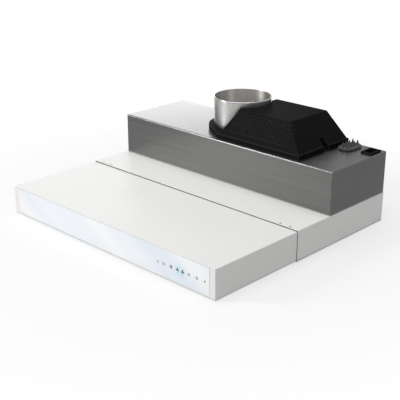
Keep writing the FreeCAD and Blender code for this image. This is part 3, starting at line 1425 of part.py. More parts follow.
def make_rails():
    for word, side in SIDES.items():
        make_rail_bracket(f"rail_bracket_{word}", side)
        make_rail(f"outer_rail_{word}", side, RAIL_X, f"{RAIL_X} + rail_sheet", OUTER_TIP,
                  HALF_OUTER, OUTER_SPAN)
        make_rail(f"middle_rail_{word}", side, MIDDLE_X, f"{MIDDLE_X} + rail_sheet", MIDDLE_TIP,
                  HALF_MIDDLE, MIDDLE_SPAN)
        make_rail(f"inner_rail_{word}", side, SKIRT_IN, f"{SKIRT_IN} - rail_sheet", INNER_TIP,
                  HALF_INNER, INNER_SPAN)


def make_rail_glides():
    """Nylon glides clipped to the middle rails, above and below each running gap."""
    pieces = []
    outer_starts = (f"{RAIL_FRONT} + 3", f"{MIDDLE_SPAN[1]} - glide_length - 2")
    inner_starts = (f"{MIDDLE_SPAN[0]} + 3", f"{INNER_SPAN[1]} - glide_length - 2")
    outer_x = (f"{MIDDLE_X} + 0.3", f"{OUTER_TIP} - 0.3")
    inner_x = (f"{INNER_TIP} + 0.3", f"{MIDDLE_TIP} - 0.3")
    outer_z = (HALF_MIDDLE, f"{HALF_MIDDLE} + glide_height")
    inner_z = (f"{HALF_MIDDLE} - rail_sheet - glide_height", f"{HALF_MIDDLE} - rail_sheet")
    for word, side in SIDES.items():
        for x, z, starts in ((outer_x, outer_z, outer_starts), (inner_x, inner_z, inner_starts)):
            for start in starts:
                for up in (True, False):
                    low = f"rail_middle_height + {z[0]}" if up else f"rail_middle_height - ({z[1]})"
                    high = f"rail_middle_height + {z[1]}" if up else f"rail_middle_height - ({z[0]})"
                    pieces.append(block(f"glide_{word}_{len(pieces)}", mirrored(side, x[0], x[1]),
                                        (start, f"{start} + glide_length"), (low, high)))
    return node(group("rail_glides_form", *pieces), "rail_glides")


def make_drawer_buffers():
    """Rubber buffers on the back wall that stop the drawer."""
    pieces = []
    for index, sign in enumerate(("0 -", "0 +")):
        pieces.append(rod(f"buffer_{index}", "buffer_radius",
                          (f"{sign} ({HALF} - 3 * side_lip / 2)", f"{BRACE_LOW} + buffer_radius - 1"),
                          (BUFFER_REACH, WALL_INSIDE), "Y"))
    return node(group("drawer_buffers_form", *pieces), "drawer_buffers")


# ---------------------------------------------------------------- drawer

BRACE_LOW = f"({RAIL_TOP} + 1.5)"
BRACE_BACK = f"({DRAWER_REAR} - 0.5 - magnet_radius)"
BRACE_FRONT = f"({BRACE_BACK} - brace_depth)"
PANEL_FRONT = f"({SHELL_FRONT} + front_lip)"
PANEL_BACK = f"({BRACE_BACK})"
PANEL_TOP = "(panel_level + drawer_sheet)"


def make_drawer_shell():
    """White sheet-steel drawer: roof, two skirts with returns, front with a window."""
    body = new_body("drawer_shell_form")
    inner_return = f"({SKIRT_IN} - drawer_return)"
    low = DRAWER_LOW
    roof_low = f"({DRAWER_TOP} - drawer_sheet)"
    lip_top = f"({DRAWER_LOW} + drawer_sheet)"
    half = [
        (inner_return, low),
        (SKIRT_OUT, low),
        (SKIRT_OUT, DRAWER_TOP),
    ]
    inside = [
        (SKIRT_IN, roof_low),
        (SKIRT_IN, lip_top),
        (inner_return, lip_top),
    ]
    points = half
    points = points + [(f"0 - {SKIRT_OUT}", DRAWER_TOP), (f"0 - {SKIRT_OUT}", low),
                       (f"0 - {inner_return}", low), (f"0 - {inner_return}", lip_top),
                       (f"0 - {SKIRT_IN}", lip_top), (f"0 - {SKIRT_IN}", roof_low)]
    points = points + inside
    sketch = new_sketch(body, "XZ_Plane", f"0 - {SHELL_FRONT}")
    outline(sketch, points)
    pad(body, sketch, f"{DRAWER_REAR} - {SHELL_FRONT}", flip=True)
    # front sheet and the lip folded back under it
    sketch = new_sketch(body, "XZ_Plane", f"0 - {SHELL_FRONT}")
    rectangle(sketch, (f"0 - {SKIRT_OUT}", SKIRT_OUT), (low, DRAWER_TOP))
    pad(body, sketch, "drawer_sheet", flip=True)
    sketch = new_sketch(body, "XY_Plane", low)
    rectangle(sketch, (f"0 - {SKIRT_OUT}", SKIRT_OUT), (SHELL_FRONT, PANEL_FRONT))
    pad(body, sketch, "drawer_sheet")
    outer_x = sheet.get("hood_width") / 2 - sheet.get("body_sheet") - sheet.get("drawer_side_gap")
    top_z = sheet.get("body_height") - sheet.get("body_sheet") - sheet.get("drawer_top_gap")
    round_edges(body, "drawer_sheet * 1.2", lambda edge: is_outer_edge(edge, outer_x, top_z))
    sketch = new_sketch(body, "XZ_Plane", f"0 - {SHELL_FRONT}")
    rectangle(sketch, (f"0 - {SKIRT_OUT} + front_band_side", f"{SKIRT_OUT} - front_band_side"),
              (f"{low} + front_band_bottom", f"{DRAWER_TOP} - front_band_top"))
    pocket(body, sketch, "drawer_sheet")
    return node(body, "drawer_shell")


def is_outer_edge(edge, outer_x, top_z):
    """Long upper edges of the drawer that run front to back, at its two outer corners."""
    box = edge.BoundBox
    return box.YLength > 50 and abs(abs(box.XMin) - outer_x) < 0.01 and abs(box.ZMax - top_z) < 0.01


GLASS_X = f"({SKIRT_OUT} - front_band_side - glass_gap)"
GLASS_LOW = f"({DRAWER_LOW} + front_band_bottom + glass_gap)"
GLASS_HIGH = f"({DRAWER_TOP} - front_band_top - glass_gap)"
GLASS_BACK = f"({FRONT} + glass_sheet)"
SHEET_BACK = f"({SHELL_FRONT} + drawer_sheet)"


def make_front_glass():
    """White-backed glass front panel with ground edges."""
    body = new_body("front_glass_form")
    sketch = new_sketch(body, "XZ_Plane", f"0 - {FRONT}")
    rectangle(sketch, (f"0 - {GLASS_X}", GLASS_X), (GLASS_LOW, GLASS_HIGH))
    pad(body, sketch, "glass_sheet", flip=True)
    face = -(sheet.get("drawer_reach") + sheet.get("body_depth")) / 2
    bevel_edges(body, "glass_arris", lambda edge: edge.BoundBox.YMax < face + 0.01)
    return node(body, "front_glass")


def make_glass_carrier():
    """Plastic frame behind the front sheet; the glass is bonded into it."""
    x = f"({GLASS_X} + glass_gap + carrier_rim)"
    low = f"({DRAWER_LOW} + drawer_sheet + 0.2)"
    high = f"({DRAWER_TOP} - drawer_sheet - 0.2)"
    back = f"({GLASS_BACK} + carrier_back)"
    solid = block("carrier_solid", (f"0 - {x}", x), (SHEET_BACK, back), (low, high))
    seat = block("carrier_seat", (f"0 - {GLASS_X} - glass_gap", f"{GLASS_X} + glass_gap"),
                 (f"{SHEET_BACK} - 1", GLASS_BACK),
                 (f"{GLASS_LOW} - glass_gap", f"{GLASS_HIGH} + glass_gap"))
    window = block("carrier_window",
                   (f"{TOUCH_RIGHT} - touch_board_width + 4", f"{TOUCH_RIGHT} - 4"),
                   (f"{GLASS_BACK} - 1", f"{back} + 1"),
                   ("touch_board_level - touch_board_height / 2 + 3",
                    "touch_board_level + touch_board_height / 2 - 3"))
    return node(cut("glass_carrier_form", solid, seat, window), "glass_carrier")


def make_touch_board():
    """Touch-control board behind the glass, with its chip and plug header."""
    back = f"({GLASS_BACK} + carrier_back)"
    board = block("touch_board_plate", (f"{TOUCH_RIGHT} - touch_board_width", TOUCH_RIGHT),
                  (back, f"{back} + board_sheet"),
                  ("touch_board_level - touch_board_height / 2", "touch_board_level + touch_board_height / 2"))
    chip = block("touch_chip", (f"{TOUCH_RIGHT} - 80", f"{TOUCH_RIGHT} - 66"),
                 (f"{back} + board_sheet", f"{back} + board_sheet + 2"),
                 ("touch_board_level - 7", "touch_board_level + 7"))
    header = block("touch_header", (f"{TOUCH_RIGHT} - 30", f"{TOUCH_RIGHT} - 14"),
                   (f"{back} + board_sheet", f"{back} + board_sheet + 6"),
                   ("touch_board_level - 4", "touch_board_level + 4"))
    return node(fuse("touch_board_form", board, chip, header), "touch_board")


def panel_screw_places():
    """Centres of the screws that go up through the panel into the brace's legs."""
    places = []
    for side in SIDES.values():
        places.append((f"{side} * ({PANEL_HALF} - drawer_sheet - brace_leg / 2)",
                       f"({BRACE_FRONT} + {BRACE_BACK}) / 2"))
    return places


def make_drawer_panel():
    """Steel panel under the drawer: air slots, two lamp holes, turned-up edges."""
    body = new_body("drawer_panel_form")
    wide = PANEL_HALF
    sketch = new_sketch(body, "XY_Plane", "panel_level")
    rectangle(sketch, (f"0 - {wide}", wide), (PANEL_FRONT, PANEL_BACK))
    pad(body, sketch, "drawer_sheet")
    # side edges turned up, front edge turned down to the drawer's lip
    for low, high in ((f"0 - {wide}", f"0 - {wide} + drawer_sheet"), (f"{wide} - drawer_sheet", wide)):
        sketch = new_sketch(body, "XY_Plane", "panel_level")
        rectangle(sketch, (low, high), (PANEL_FRONT, PANEL_BACK))
        pad(body, sketch, "panel_edge")
    sketch = new_sketch(body, "XY_Plane", f"{DRAWER_LOW} + drawer_sheet")
    rectangle(sketch, (f"0 - {wide}", wide), (f"{PANEL_FRONT} - 4", f"{PANEL_FRONT} - 4 + drawer_sheet"))
    pad(body, sketch, f"{PANEL_TOP} - ({DRAWER_LOW} + drawer_sheet)")
    sketch = new_sketch(body, "XY_Plane", "panel_level")
    rectangle(sketch, (f"0 - {wide}", wide), (f"{PANEL_FRONT} - 4", f"{PANEL_FRONT} + 1"))
    pad(body, sketch, "drawer_sheet")
    sketch = new_sketch(body, "XY_Plane", PANEL_TOP)
    for sign in ("0 -", "0 +"):
        circle(sketch, f"{sign} {LAMP_X}", f"{FRONT} + lamp_setback", "lamp_radius + 0.3")
    for x, y in panel_screw_places():
        circle(sketch, x, y, "screw_radius + screw_gap")
    pocket(body, sketch, "drawer_sheet")
    first = "(0 - intake_pitch * (intake_count - 1) / 2)"
    slot_back = f"({PANEL_BACK} - intake_back_margin)"
    sketch = new_sketch(body, "XY_Plane", PANEL_TOP)
    rectangle(sketch, (f"{first} - intake_width / 2", f"{first} + intake_width / 2"),
              (f"{slot_back} - intake_length", slot_back))
    slot = pocket(body, sketch, "drawer_sheet")
    row_of(body, slot, "X_Axis", "intake_pitch", "intake_count")
    return node(body, "drawer_panel")


def make_drawer_brace():
    """Cross member at the drawer's rear, with two legs down to the panel."""
    wide = f"({SKIRT_IN} - 0.1)"
    y = (BRACE_FRONT, BRACE_BACK)
    bar = block("brace_bar", (f"0 - {wide}", wide), y, (BRACE_LOW, f"{DRAWER_TOP} - drawer_sheet"))
    room = block("brace_room", (f"0 - {wide} + 2", f"{wide} - 2"),
                 (f"{BRACE_FRONT} - 1", f"{BRACE_BACK} - 1.5"),
                 (f"{BRACE_LOW} + 1.5", f"{DRAWER_TOP} - drawer_sheet - 1.5"))
    legs = []
    for word, side in SIDES.items():
        legs.append(block(f"brace_leg_{word}",
                          mirrored(side, f"{PANEL_HALF} - drawer_sheet - brace_leg",
                                   f"{PANEL_HALF} - drawer_sheet"),
                          y, (PANEL_TOP, f"{BRACE_LOW} + 1")))
    pilots = []
    for index, (x, y) in enumerate(panel_screw_places()):
        pilots.append(rod(f"brace_pilot_{index}", "screw_radius", (x, y), ("panel_level", f"{PANEL_TOP} + 9")))
    solid = fuse("brace_solid", cut("brace_channel", bar, room), *legs)
    return node(cut("drawer_brace_form", solid, *pilots), "drawer_brace")


def make_drawer_magnet():
    """Magnet on the brace that works the reed switch when the drawer is shut."""
    magnet = rod("drawer_magnet_form", "magnet_radius",
                 ("0 - hood_width / 4", f"{BRACE_LOW} + magnet_radius + 0.5"),
                 (BRACE_BACK, f"{BRACE_BACK} + magnet_radius"), "Y")
    return node(magnet, "drawer_magnet")


def make_lamp(word, side):
    """Round lamp: a cup hung in the panel and a flat lens in its mouth."""
    centre = (f"{side} * {LAMP_X}", f"{FRONT} + lamp_setback")
    low = "(panel_level - 1)"
    flange = rod(f"lamp_flange_{word}", "lamp_radius + lamp_flange", centre, (low, "panel_level"))
    cup = rod(f"lamp_cup_{word}", "lamp_radius", centre, ("panel_level", "panel_level + lamp_height"))
    room = rod(f"lamp_room_{word}", "lamp_radius - 1.5", centre, (f"{low} - 1", "panel_level + lamp_height - 1.5"))
    node(cut(f"lamp_housing_{word}_form", fuse(f"lamp_solid_{word}", flange, cup), room),
         f"lamp_housing_{word}")
    lens = rod(f"lamp_lens_{word}_form", "lamp_radius - 1.7", centre,
               (f"{low} + 0.2", f"{low} + 0.2 + lens_sheet"))
    node(lens, f"lamp_lens_{word}")


def make_panel_screws():
    """Screws that hold the panel to the brace's legs."""
    screws = []
    for index, (x, y) in enumerate(panel_screw_places()):
        screws.append(screw(f"panel_screw_{index}", x, y, "panel_level", "8", True))
    return node(group("panel_screws_form", *screws), "panel_screws")


# ---------------------------------------------------------------- grease filter

PLATE_X = "(handle_width / 2 + 9)"
POCKET_X = "(handle_width / 2 + 3)"
HANDLE_Z = "(filter_level + handle_wire + 1)"
HANDLE_PIVOT_Y = f"({FILTER_FRONT} + 4 + handle_pocket - handle_wire - 1.5)"
HANDLE_FRONT_Y = f"({HANDLE_PIVOT_Y} - handle_drop)"


def make_filter_frame():
    """Aluminium cassette frame with a handle plate in front and hinge notches behind."""
    x = (f"0 - {FILTER_X}", FILTER_X)
    y = (FILTER_FRONT, FILTER_BACK)
    z = ("filter_level", FILTER_TOP)
    inner_x = (f"0 - {FILTER_X} + filter_border", f"{FILTER_X} - filter_border")
    inner_y = (f"{FILTER_FRONT} + filter_border", f"{FILTER_BACK} - filter_border")
    rim = cut("filter_rim", block("filter_block", x, y, z),
              block("filter_window", inner_x, inner_y, ("filter_level - 1", f"{FILTER_TOP} + 1")))
    plate = block("filter_plate", (f"0 - {PLATE_X}", PLATE_X),
                  (FILTER_FRONT, f"{FILTER_FRONT} + handle_plate"), z)
    tools = [block("handle_pocket_room", (f"0 - {POCKET_X}", POCKET_X),
                   (f"{FILTER_FRONT} + 4", f"{FILTER_FRONT} + 4 + handle_pocket"),
                   ("filter_level - 1", f"{HANDLE_Z} + handle_wire + 1"))]
    tools.append(rod("handle_pivot_bore", "handle_wire + running_gap", (HANDLE_PIVOT_Y, HANDLE_Z),
                     (f"0 - {POCKET_X} - 4", f"{POCKET_X} + 4"), "X"))
    pins = []
    for word, side in SIDES.items():
        reach = "(hinge_eye_width / 2 + hinge_side_gap)"
        near = f"{HINGE_X} - {reach}"
        far = f"{HINGE_X} + {reach}"
        tools.append(block(f"hinge_notch_{word}", mirrored(side, near, far),
                           (f"{FILTER_PIN_Y} - 5.5", f"{FILTER_BACK} + 1"),
                           ("filter_level - 1", f"{FILTER_TOP} + 1")))
        pins.append(rod(f"hinge_pin_{word}", "filter_pin_radius", (FILTER_PIN_Y, FILTER_PIN_Z),
                        mirrored(side, f"{near} - 1", f"{far} + 1"), "X"))
    body = cut("filter_cut", fuse("filter_solid", rim, plate), *tools)
    return node(fuse("filter_frame_form", body, *pins), "filter_frame")


def make_filter_mesh():
    """Pad of layered aluminium mesh held in the frame, drawn as a slotted plate."""
    gap = "0.2"
    x = f"({FILTER_X} - filter_border - {gap})"
    pad_block = block("mesh_block", (f"0 - {x}", x),
                      (f"{FILTER_FRONT} + filter_border + {gap}", f"{FILTER_BACK} - filter_border - {gap}"),
                      ("filter_level + 1", f"{FILTER_TOP} - 1"))
    room = block("mesh_room", (f"0 - {PLATE_X} - {gap}", f"{PLATE_X} + {gap}"),
                 (FILTER_FRONT, f"{FILTER_FRONT} + handle_plate + {gap}"),
                 ("filter_level", FILTER_TOP))
    return node(cut("filter_mesh_form", pad_block, room), "filter_mesh")


def make_filter_handle():
    """Wire bail that lies flat in the filter's pocket and folds down."""
    half = "(handle_width / 2)"
    parts = [rod("handle_bar", "handle_wire", (HANDLE_FRONT_Y, HANDLE_Z), (f"0 - {half}", half), "X")]
    for word, side in SIDES.items():
        parts.append(rod(f"handle_arm_{word}", "handle_wire", (f"{side} * {half}", HANDLE_Z),
                         (HANDLE_FRONT_Y, HANDLE_PIVOT_Y), "Y"))
        parts.append(rod(f"handle_pivot_{word}", "handle_wire", (HANDLE_PIVOT_Y, HANDLE_Z),
                         mirrored(side, half, f"{POCKET_X} + 3"), "X"))
        for spot, y in (("front", HANDLE_FRONT_Y), ("back", HANDLE_PIVOT_Y)):
            knee = doc.addObject("Part::Sphere", f"handle_knee_{word}_{spot}")
            bind(knee, "Radius", "handle_wire")
            stand_at(knee, f"{side} * {half}", y, HANDLE_Z)
            parts.append(knee)
    return node(fuse("filter_handle_form", *parts), "filter_handle")


def make_filter_hinges():
    """Two eyes on the body's rear lip that hold the filter's hinge pins."""
    pieces = []
    for word, side in SIDES.items():
        x = mirrored(side, f"{HINGE_X} - hinge_eye_width / 2", f"{HINGE_X} + hinge_eye_width / 2")
        eye = rod(f"hinge_eye_{word}", "filter_pin_radius + 2", (FILTER_PIN_Y, FILTER_PIN_Z), x, "X")
        arm = block(f"hinge_arm_{word}", x, (FILTER_PIN_Y, f"{BACK} - end_lip + 12"),
                    (f"{FILTER_PIN_Z} - 1", f"{FILTER_PIN_Z} + 2"))
        foot = block(f"hinge_foot_{word}", x, (f"{BACK} - end_lip + 1", f"{BACK} - end_lip + 12"),
                     ("body_sheet", f"{FILTER_PIN_Z} + 1"))
        bore = rod(f"hinge_bore_{word}", "filter_pin_radius + running_gap", (FILTER_PIN_Y, FILTER_PIN_Z),
                   (f"{x[0]} - 1", f"{x[1]} + 1"), "X")
        pieces.append(cut(f"hinge_{word}", fuse(f"hinge_solid_{word}", eye, arm, foot), bore))
    return node(group("filter_hinges_form", *pieces), "filter_hinges")


def make_filter_catches():
    """Two magnetic catches on the body's front lip that hold the filter shut."""
    pieces = []
    lip_edge = f"({BODY_FRONT} + end_lip)"
    top = f"({FILTER_TOP} + 0.3 + catch_sheet)"
    for word, side in SIDES.items():
        x = mirrored(side, f"{CATCH_X} - catch_width / 2", f"{CATCH_X} + catch_width / 2")
        foot = block(f"catch_foot_{word}", x, (f"{lip_edge} - 12", f"{lip_edge} - 1"), ("body_sheet", top))
        arm = block(f"catch_arm_{word}", x, (f"{lip_edge} - 2", f"{lip_edge} + catch_arm"),
                    (f"{FILTER_TOP} + 0.3", top))
        pieces.append(fuse(f"catch_{word}", foot, arm))
    return node(group("filter_catches_form", *pieces), "filter_catches")


# ---------------------------------------------------------------- the whole hood

def make_hood():
    make_body_shell()
    make_fan_box()
    make_duct_collar()
    make_flap_seat()
    make_flap_pin()
    make_flaps()
    make_motor_cover()
    make_cover_screws()
    make_scroll_housing()
    make_scroll_lid()
    make_fan_guard()
    make_impeller()
    make_motor_shaft()
    make_impeller_nut()
    make_motor_base()
    make_motor_cap()
    make_motor_bearings()
    make_stator()
    make_rotor_core()
    make_motor_dampers()
    make_motor_screws()
    make_control_box()
    make_control_lid()
    make_control_board()
    make_run_capacitor()
    make_lamp_driver()
    make_cable_grommet()
    make_connector_socket()
    make_socket_pins()
    make_drawer_switch()
    make_rails()
    make_rail_glides()
    make_drawer_buffers()
    make_rivets()
    make_drawer_shell()
    make_front_glass()
    make_glass_carrier()
    make_touch_board()
    make_drawer_panel()
    make_drawer_brace()
    make_drawer_magnet()
    for word, side in SIDES.items():
        make_lamp(word, side)
    make_panel_screws()
    make_filter_frame()
    make_filter_mesh()
    make_filter_handle()
    make_filter_hinges()
    make_filter_catches()


def check_and_save():
    """Stop at any failed object, then write one file for each piece."""
    doc.recompute()
    for obj in doc.Objects:
        if "Invalid" in obj.State or "Error" in obj.State:
            raise RuntimeError(f"{obj.Name} failed: {obj.State}")
    for obj in NODES:
        if obj.Shape.isNull() or not obj.Shape.isValid():
            raise RuntimeError(f"{obj.Label} has no valid shape")
    os.makedirs("parts", exist_ok=True)
    for obj in NODES:
        obj.Shape.exportStep(f"parts/{obj.Label}.step")
        print(obj.Label, len(obj.Shape.Solids), round(obj.Shape.Volume, 1))
    print(len(NODES), "pieces saved")


make_hood()
check_and_save()
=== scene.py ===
# %% [markdown]
# # A slide-out kitchen extractor hood
# The hood is a white sheet-steel body with a drawer that slides out of it towards the cook.
# A steel box with the fan stands on its rear half, and a duct collar and a black moulded
# motor cover stand on that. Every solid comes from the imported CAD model; this lesson gives
# each of them its finish and makes the finer pieces. We start by loading the model.

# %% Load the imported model
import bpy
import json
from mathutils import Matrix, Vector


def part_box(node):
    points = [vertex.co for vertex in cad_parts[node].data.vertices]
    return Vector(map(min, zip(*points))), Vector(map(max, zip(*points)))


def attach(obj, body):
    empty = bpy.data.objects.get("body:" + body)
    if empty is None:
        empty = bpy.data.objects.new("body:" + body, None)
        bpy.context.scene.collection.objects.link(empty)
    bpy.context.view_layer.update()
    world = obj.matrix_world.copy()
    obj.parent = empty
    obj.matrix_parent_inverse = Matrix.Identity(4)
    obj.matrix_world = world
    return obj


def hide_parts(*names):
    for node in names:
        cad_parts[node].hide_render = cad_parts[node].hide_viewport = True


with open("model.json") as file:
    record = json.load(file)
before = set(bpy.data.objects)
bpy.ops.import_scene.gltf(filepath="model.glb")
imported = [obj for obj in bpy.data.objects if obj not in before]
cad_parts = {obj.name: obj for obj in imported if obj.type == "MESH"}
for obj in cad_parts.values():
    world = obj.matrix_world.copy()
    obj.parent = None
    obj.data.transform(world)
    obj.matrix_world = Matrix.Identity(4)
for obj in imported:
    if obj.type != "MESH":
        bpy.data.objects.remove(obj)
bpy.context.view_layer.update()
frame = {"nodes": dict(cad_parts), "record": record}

import json
import math

import bmesh
import bpy
from mathutils import Vector

MM = 0.001


def middle_of(low, high):
    """The middle of a box, seen from above."""
    return (low[0] + high[0]) / 2, (low[1] + high[1]) / 2


# %% [markdown]
# ## Mixing materials
# A finish is a small tree of nodes: patterns that depend on the place on the piece, and the
# Principled shader that takes them. Writing each tree by hand is long, so a recipe object
# holds the tree, and has one short method for each pattern. All patterns read Object
# coordinates. Each piece's object sits at the origin, so they are real metres in the hood.

# %% Colours and sockets
def colour(red, green, blue):
    """A screen colour, 0 to 255, as the linear colour that shaders use."""
    linear = []
    for part in (red, green, blue):
        part = part / 255
        linear.append(part / 12.92 if part <= 0.04045 else ((part + 0.055) / 1.055) ** 2.4)
    return (*linear, 1.0)


def feed(tree, socket, source):
    """Gives a socket its source, which is another node's output or a plain value."""
    if isinstance(source, bpy.types.NodeSocket):
        tree.links.new(source, socket)
    else:
        socket.default_value = source


print("mid grey is", round(colour(128, 128, 128)[0], 3), "in linear light")

# %% A recipe for a material
RAYS = 6  # rays that one bevel or occlusion node sends out
STRAIGHT_DOWN = -0.9  # a face whose normal has a lower Z than this looks down


class Recipe:
    """A material while it is being mixed."""

    def __init__(self, name, **numbers):
        self.material = bpy.data.materials.new(name)
        self.material.use_nodes = True
        self.tree = self.material.node_tree
        self.tree.nodes.clear()
        self.shader = self.add("ShaderNodeBsdfPrincipled")
        self.surface = self.add("ShaderNodeOutputMaterial").inputs["Surface"]
        self.feed(self.surface, self.shader.outputs["BSDF"])
        self.place = self.add("ShaderNodeTexCoord").outputs["Object"]
        for socket, number in numbers.items():
            self.shader.inputs[socket.replace("_", " ")].default_value = number

    def add(self, kind):
        return self.tree.nodes.new(kind)

    def feed(self, socket, source):
        feed(self.tree, socket, source)

    def stretched(self, x=1.0, y=1.0, z=1.0):
        """The place, squeezed along an axis, for streaks."""
        node = self.add("ShaderNodeMapping")
        self.feed(node.inputs["Vector"], self.place)
        node.inputs["Scale"].default_value = (x, y, z)
        return node.outputs["Vector"]

    def noise(self, scale, detail=3.0, rough=0.5, where=None):
        node = self.add("ShaderNodeTexNoise")
        self.feed(node.inputs["Vector"], where or self.place)
        node.inputs["Scale"].default_value = scale
        node.inputs["Detail"].default_value = detail
        node.inputs["Roughness"].default_value = rough
        return node.outputs["Fac"]

    def cells(self, scale, output="Distance"):
        node = self.add("ShaderNodeTexVoronoi")
        self.feed(node.inputs["Vector"], self.place)
        node.inputs["Scale"].default_value = scale
        return node.outputs[output]

    def maths(self, operation, first, second=0.0):
        node = self.add("ShaderNodeMath")
        node.operation = operation
        self.feed(node.inputs[0], first)
        self.feed(node.inputs[1], second)
        return node.outputs[0]

    def vector(self, operation, first, second=(0.0, 0.0, 0.0)):
        """Works on two vectors; three of the operations give a plain number."""
        node = self.add("ShaderNodeVectorMath")
        node.operation = operation
        self.feed(node.inputs[0], first)
        self.feed(node.inputs[1], second)
        gives_number = operation in ("DOT_PRODUCT", "DISTANCE", "LENGTH")
        return node.outputs["Value" if gives_number else "Vector"]

    def geometry(self, output):
        return self.add("ShaderNodeNewGeometry").outputs[output]

    def spread(self, source, low, high, start=0.0, end=1.0):
        """A pattern's start to end, spread over low to high."""
        node = self.add("ShaderNodeMapRange")
        self.feed(node.inputs["Value"], source)
        numbers = {"From Min": start, "From Max": end, "To Min": low, "To Max": high}
        for socket, number in numbers.items():
            node.inputs[socket].default_value = number
        return node.outputs["Result"]

    def mix(self, amount, first, second, way="MIX"):
        """Two colours mixed; a Mix node takes colours at inputs 6 and 7, and gives output 2."""
        node = self.add("ShaderNodeMix")
        node.data_type = "RGBA"
        node.blend_type = way
        self.feed(node.inputs[0], amount)
        self.feed(node.inputs[6], first)
        self.feed(node.inputs[7], second)
        return node.outputs[2]

    def mix_shaders(self, amount, first, second):
        node = self.add("ShaderNodeMixShader")
        for socket, source in zip(node.inputs, (amount, first, second)):
            self.feed(socket, source)
        return node.outputs[0]

    def bevel(self, radius):
        """The normal with every edge eased, as if it were rounded to that radius."""
        node = self.add("ShaderNodeBevel")
        node.samples = RAYS
        node.inputs["Radius"].default_value = radius
        return node.outputs["Normal"]

    def edges(self, radius, start=0.02, end=0.25):
        """1 near an edge and 0 on flats: how far the eased normal leans from the true one."""
        agree = self.vector("DOT_PRODUCT", self.bevel(radius), self.geometry("Normal"))
        return self.spread(self.maths("SUBTRACT", 1.0, agree), 0.0, 1.0, start, end)

    def with_edge_highlight(self, tone, highlight_tone, amount, radius, start=0.02, end=0.25):
        """The tone, with a painted highlight: some of a lighter tone along its edges."""
        edge = self.maths("MULTIPLY", self.edges(radius, start, end), amount)
        return self.mix(edge, tone, highlight_tone)

    def bump(self, height, depth, strength, eased=0.0):
        """The normal over a relief of that depth, with the edges first eased to a radius."""
        node = self.add("ShaderNodeBump")
        node.inputs["Strength"].default_value = strength
        node.inputs["Distance"].default_value = depth
        self.feed(node.inputs["Height"], height)
        if eased:
            self.feed(node.inputs["Normal"], self.bevel(eased))
        return node.outputs["Normal"]

    def painted_gap_shade(self, reach, low, start, end):
        """Painted shade: 1 in the open, down to low in gaps narrower than the reach, where light
        hardly gets.
        """
        node = self.add("ShaderNodeAmbientOcclusion")
        node.samples = RAYS
        node.inputs["Distance"].default_value = reach
        # what looks straight down only has the floor close to it, and a floor is no gap
        level = self.add("ShaderNodeSeparateXYZ")
        self.feed(level.inputs[0], self.geometry("True Normal"))
        downward = self.maths("LESS_THAN", level.outputs["Z"], STRAIGHT_DOWN)
        light = self.spread(node.outputs["AO"], low, 1.0, start, end)
        return self.maths("MAXIMUM", light, downward)

    def with_painted_shade(self, tone, reach, low, start=0.25, end=0.8):
        """The tone with painted shade, darker in gaps."""
        return self.mix(1.0, tone, self.painted_gap_shade(reach, low, start, end), "MULTIPLY")

    def brushed_round(self, axis):
        """Turns the stretched highlight of rolled metal so that it runs round an axis."""
        node = self.add("ShaderNodeTangent")
        node.direction_type = "RADIAL"
        node.axis = axis
        self.feed(self.shader.inputs["Tangent"], node.outputs["Tangent"])

    def finish(self, base_colour, roughness, normal=None):
        self.feed(self.shader.inputs["Base Color"], base_colour)
        self.feed(self.shader.inputs["Roughness"], roughness)
        if normal is not None:
            self.feed(self.shader.inputs["Normal"], normal)
        return self.material


FINISHES = {}
print("recipe ready")

# %% [markdown]
# ## White powder coat
# The body and drawer are steel sheet with a baked white powder coat. It is never quite
# smooth: the melted grains leave a faint orange-peel skin. A wide, weak noise tints it, a fine
# one gives the skin, and the bevel node eases the folds. The colour also gets painted shade in
# the gaps and a painted highlight along the folds.

# %% White powder coat
def powder_coat(name, light, shade):
    recipe = Recipe(name, Specular_IOR_Level=0.12)
    tint = recipe.mix(recipe.noise(scale=9, detail=2), light, shade)
    # painted shade: the colour is darker in gaps, such as the line between drawer and body
    tone = recipe.with_painted_shade(tint, reach=9 * MM, low=0.06)
    # painted highlight: a near-white tone along the folds
    tone = recipe.with_edge_highlight(tone, colour(252, 251, 249), amount=0.6, radius=1.6 * MM)
    rough = recipe.spread(recipe.noise(scale=40), 0.42, 0.52)
    skin = recipe.noise(scale=950, detail=2, rough=0.6)
    relief = recipe.bump(skin, depth=0.04 * MM, strength=0.5, eased=1.0 * MM)
    return recipe.finish(tone, rough, relief)


FINISHES["white_enamel"] = powder_coat(
    "white_powder_coat", colour(238, 237, 235), colour(232, 231, 229))
print("white powder coat mixed")

# %% [markdown]
# ## Sheet steel and zinc
# The fan box is bare rolled sheet. Rolling leaves fine lines along the sheet, so its
# roughness is streaked along X, and its highlights stretch across the lines. The small steel
# pieces are zinc plated: zinc grows as crystals, which a cell pattern gives.

# %% Rolled steel and zinc plate
def rolled_steel(name, light, shade, rough):
    recipe = Recipe(name, Metallic=1.0, Anisotropic=0.6)
    recipe.brushed_round("X")
    streaks = recipe.noise(scale=160, detail=5, rough=0.6, where=recipe.stretched(0.02, 1.0, 1.6))
    clouds = recipe.noise(scale=6)
    tone = recipe.mix(recipe.spread(streaks, 0.0, 1.0, 0.3, 0.7), shade, light)
    tone = recipe.mix(recipe.spread(clouds, 0.0, 0.35, 0.35, 0.75), tone, light)
    # painted highlight: a paler tone along the box's edges
    tone = recipe.with_edge_highlight(tone, colour(205, 205, 203), amount=0.6, radius=3 * MM,
                       start=0.01, end=0.15)
    roughness = recipe.spread(streaks, rough - 0.02, rough + 0.03, 0.3, 0.7)
    grain = recipe.noise(scale=900, detail=4, rough=0.6, where=recipe.stretched(x=0.03))
    relief = recipe.bump(grain, depth=0.03 * MM, strength=0.35, eased=0.5 * MM)
    return recipe.finish(tone, roughness, relief)


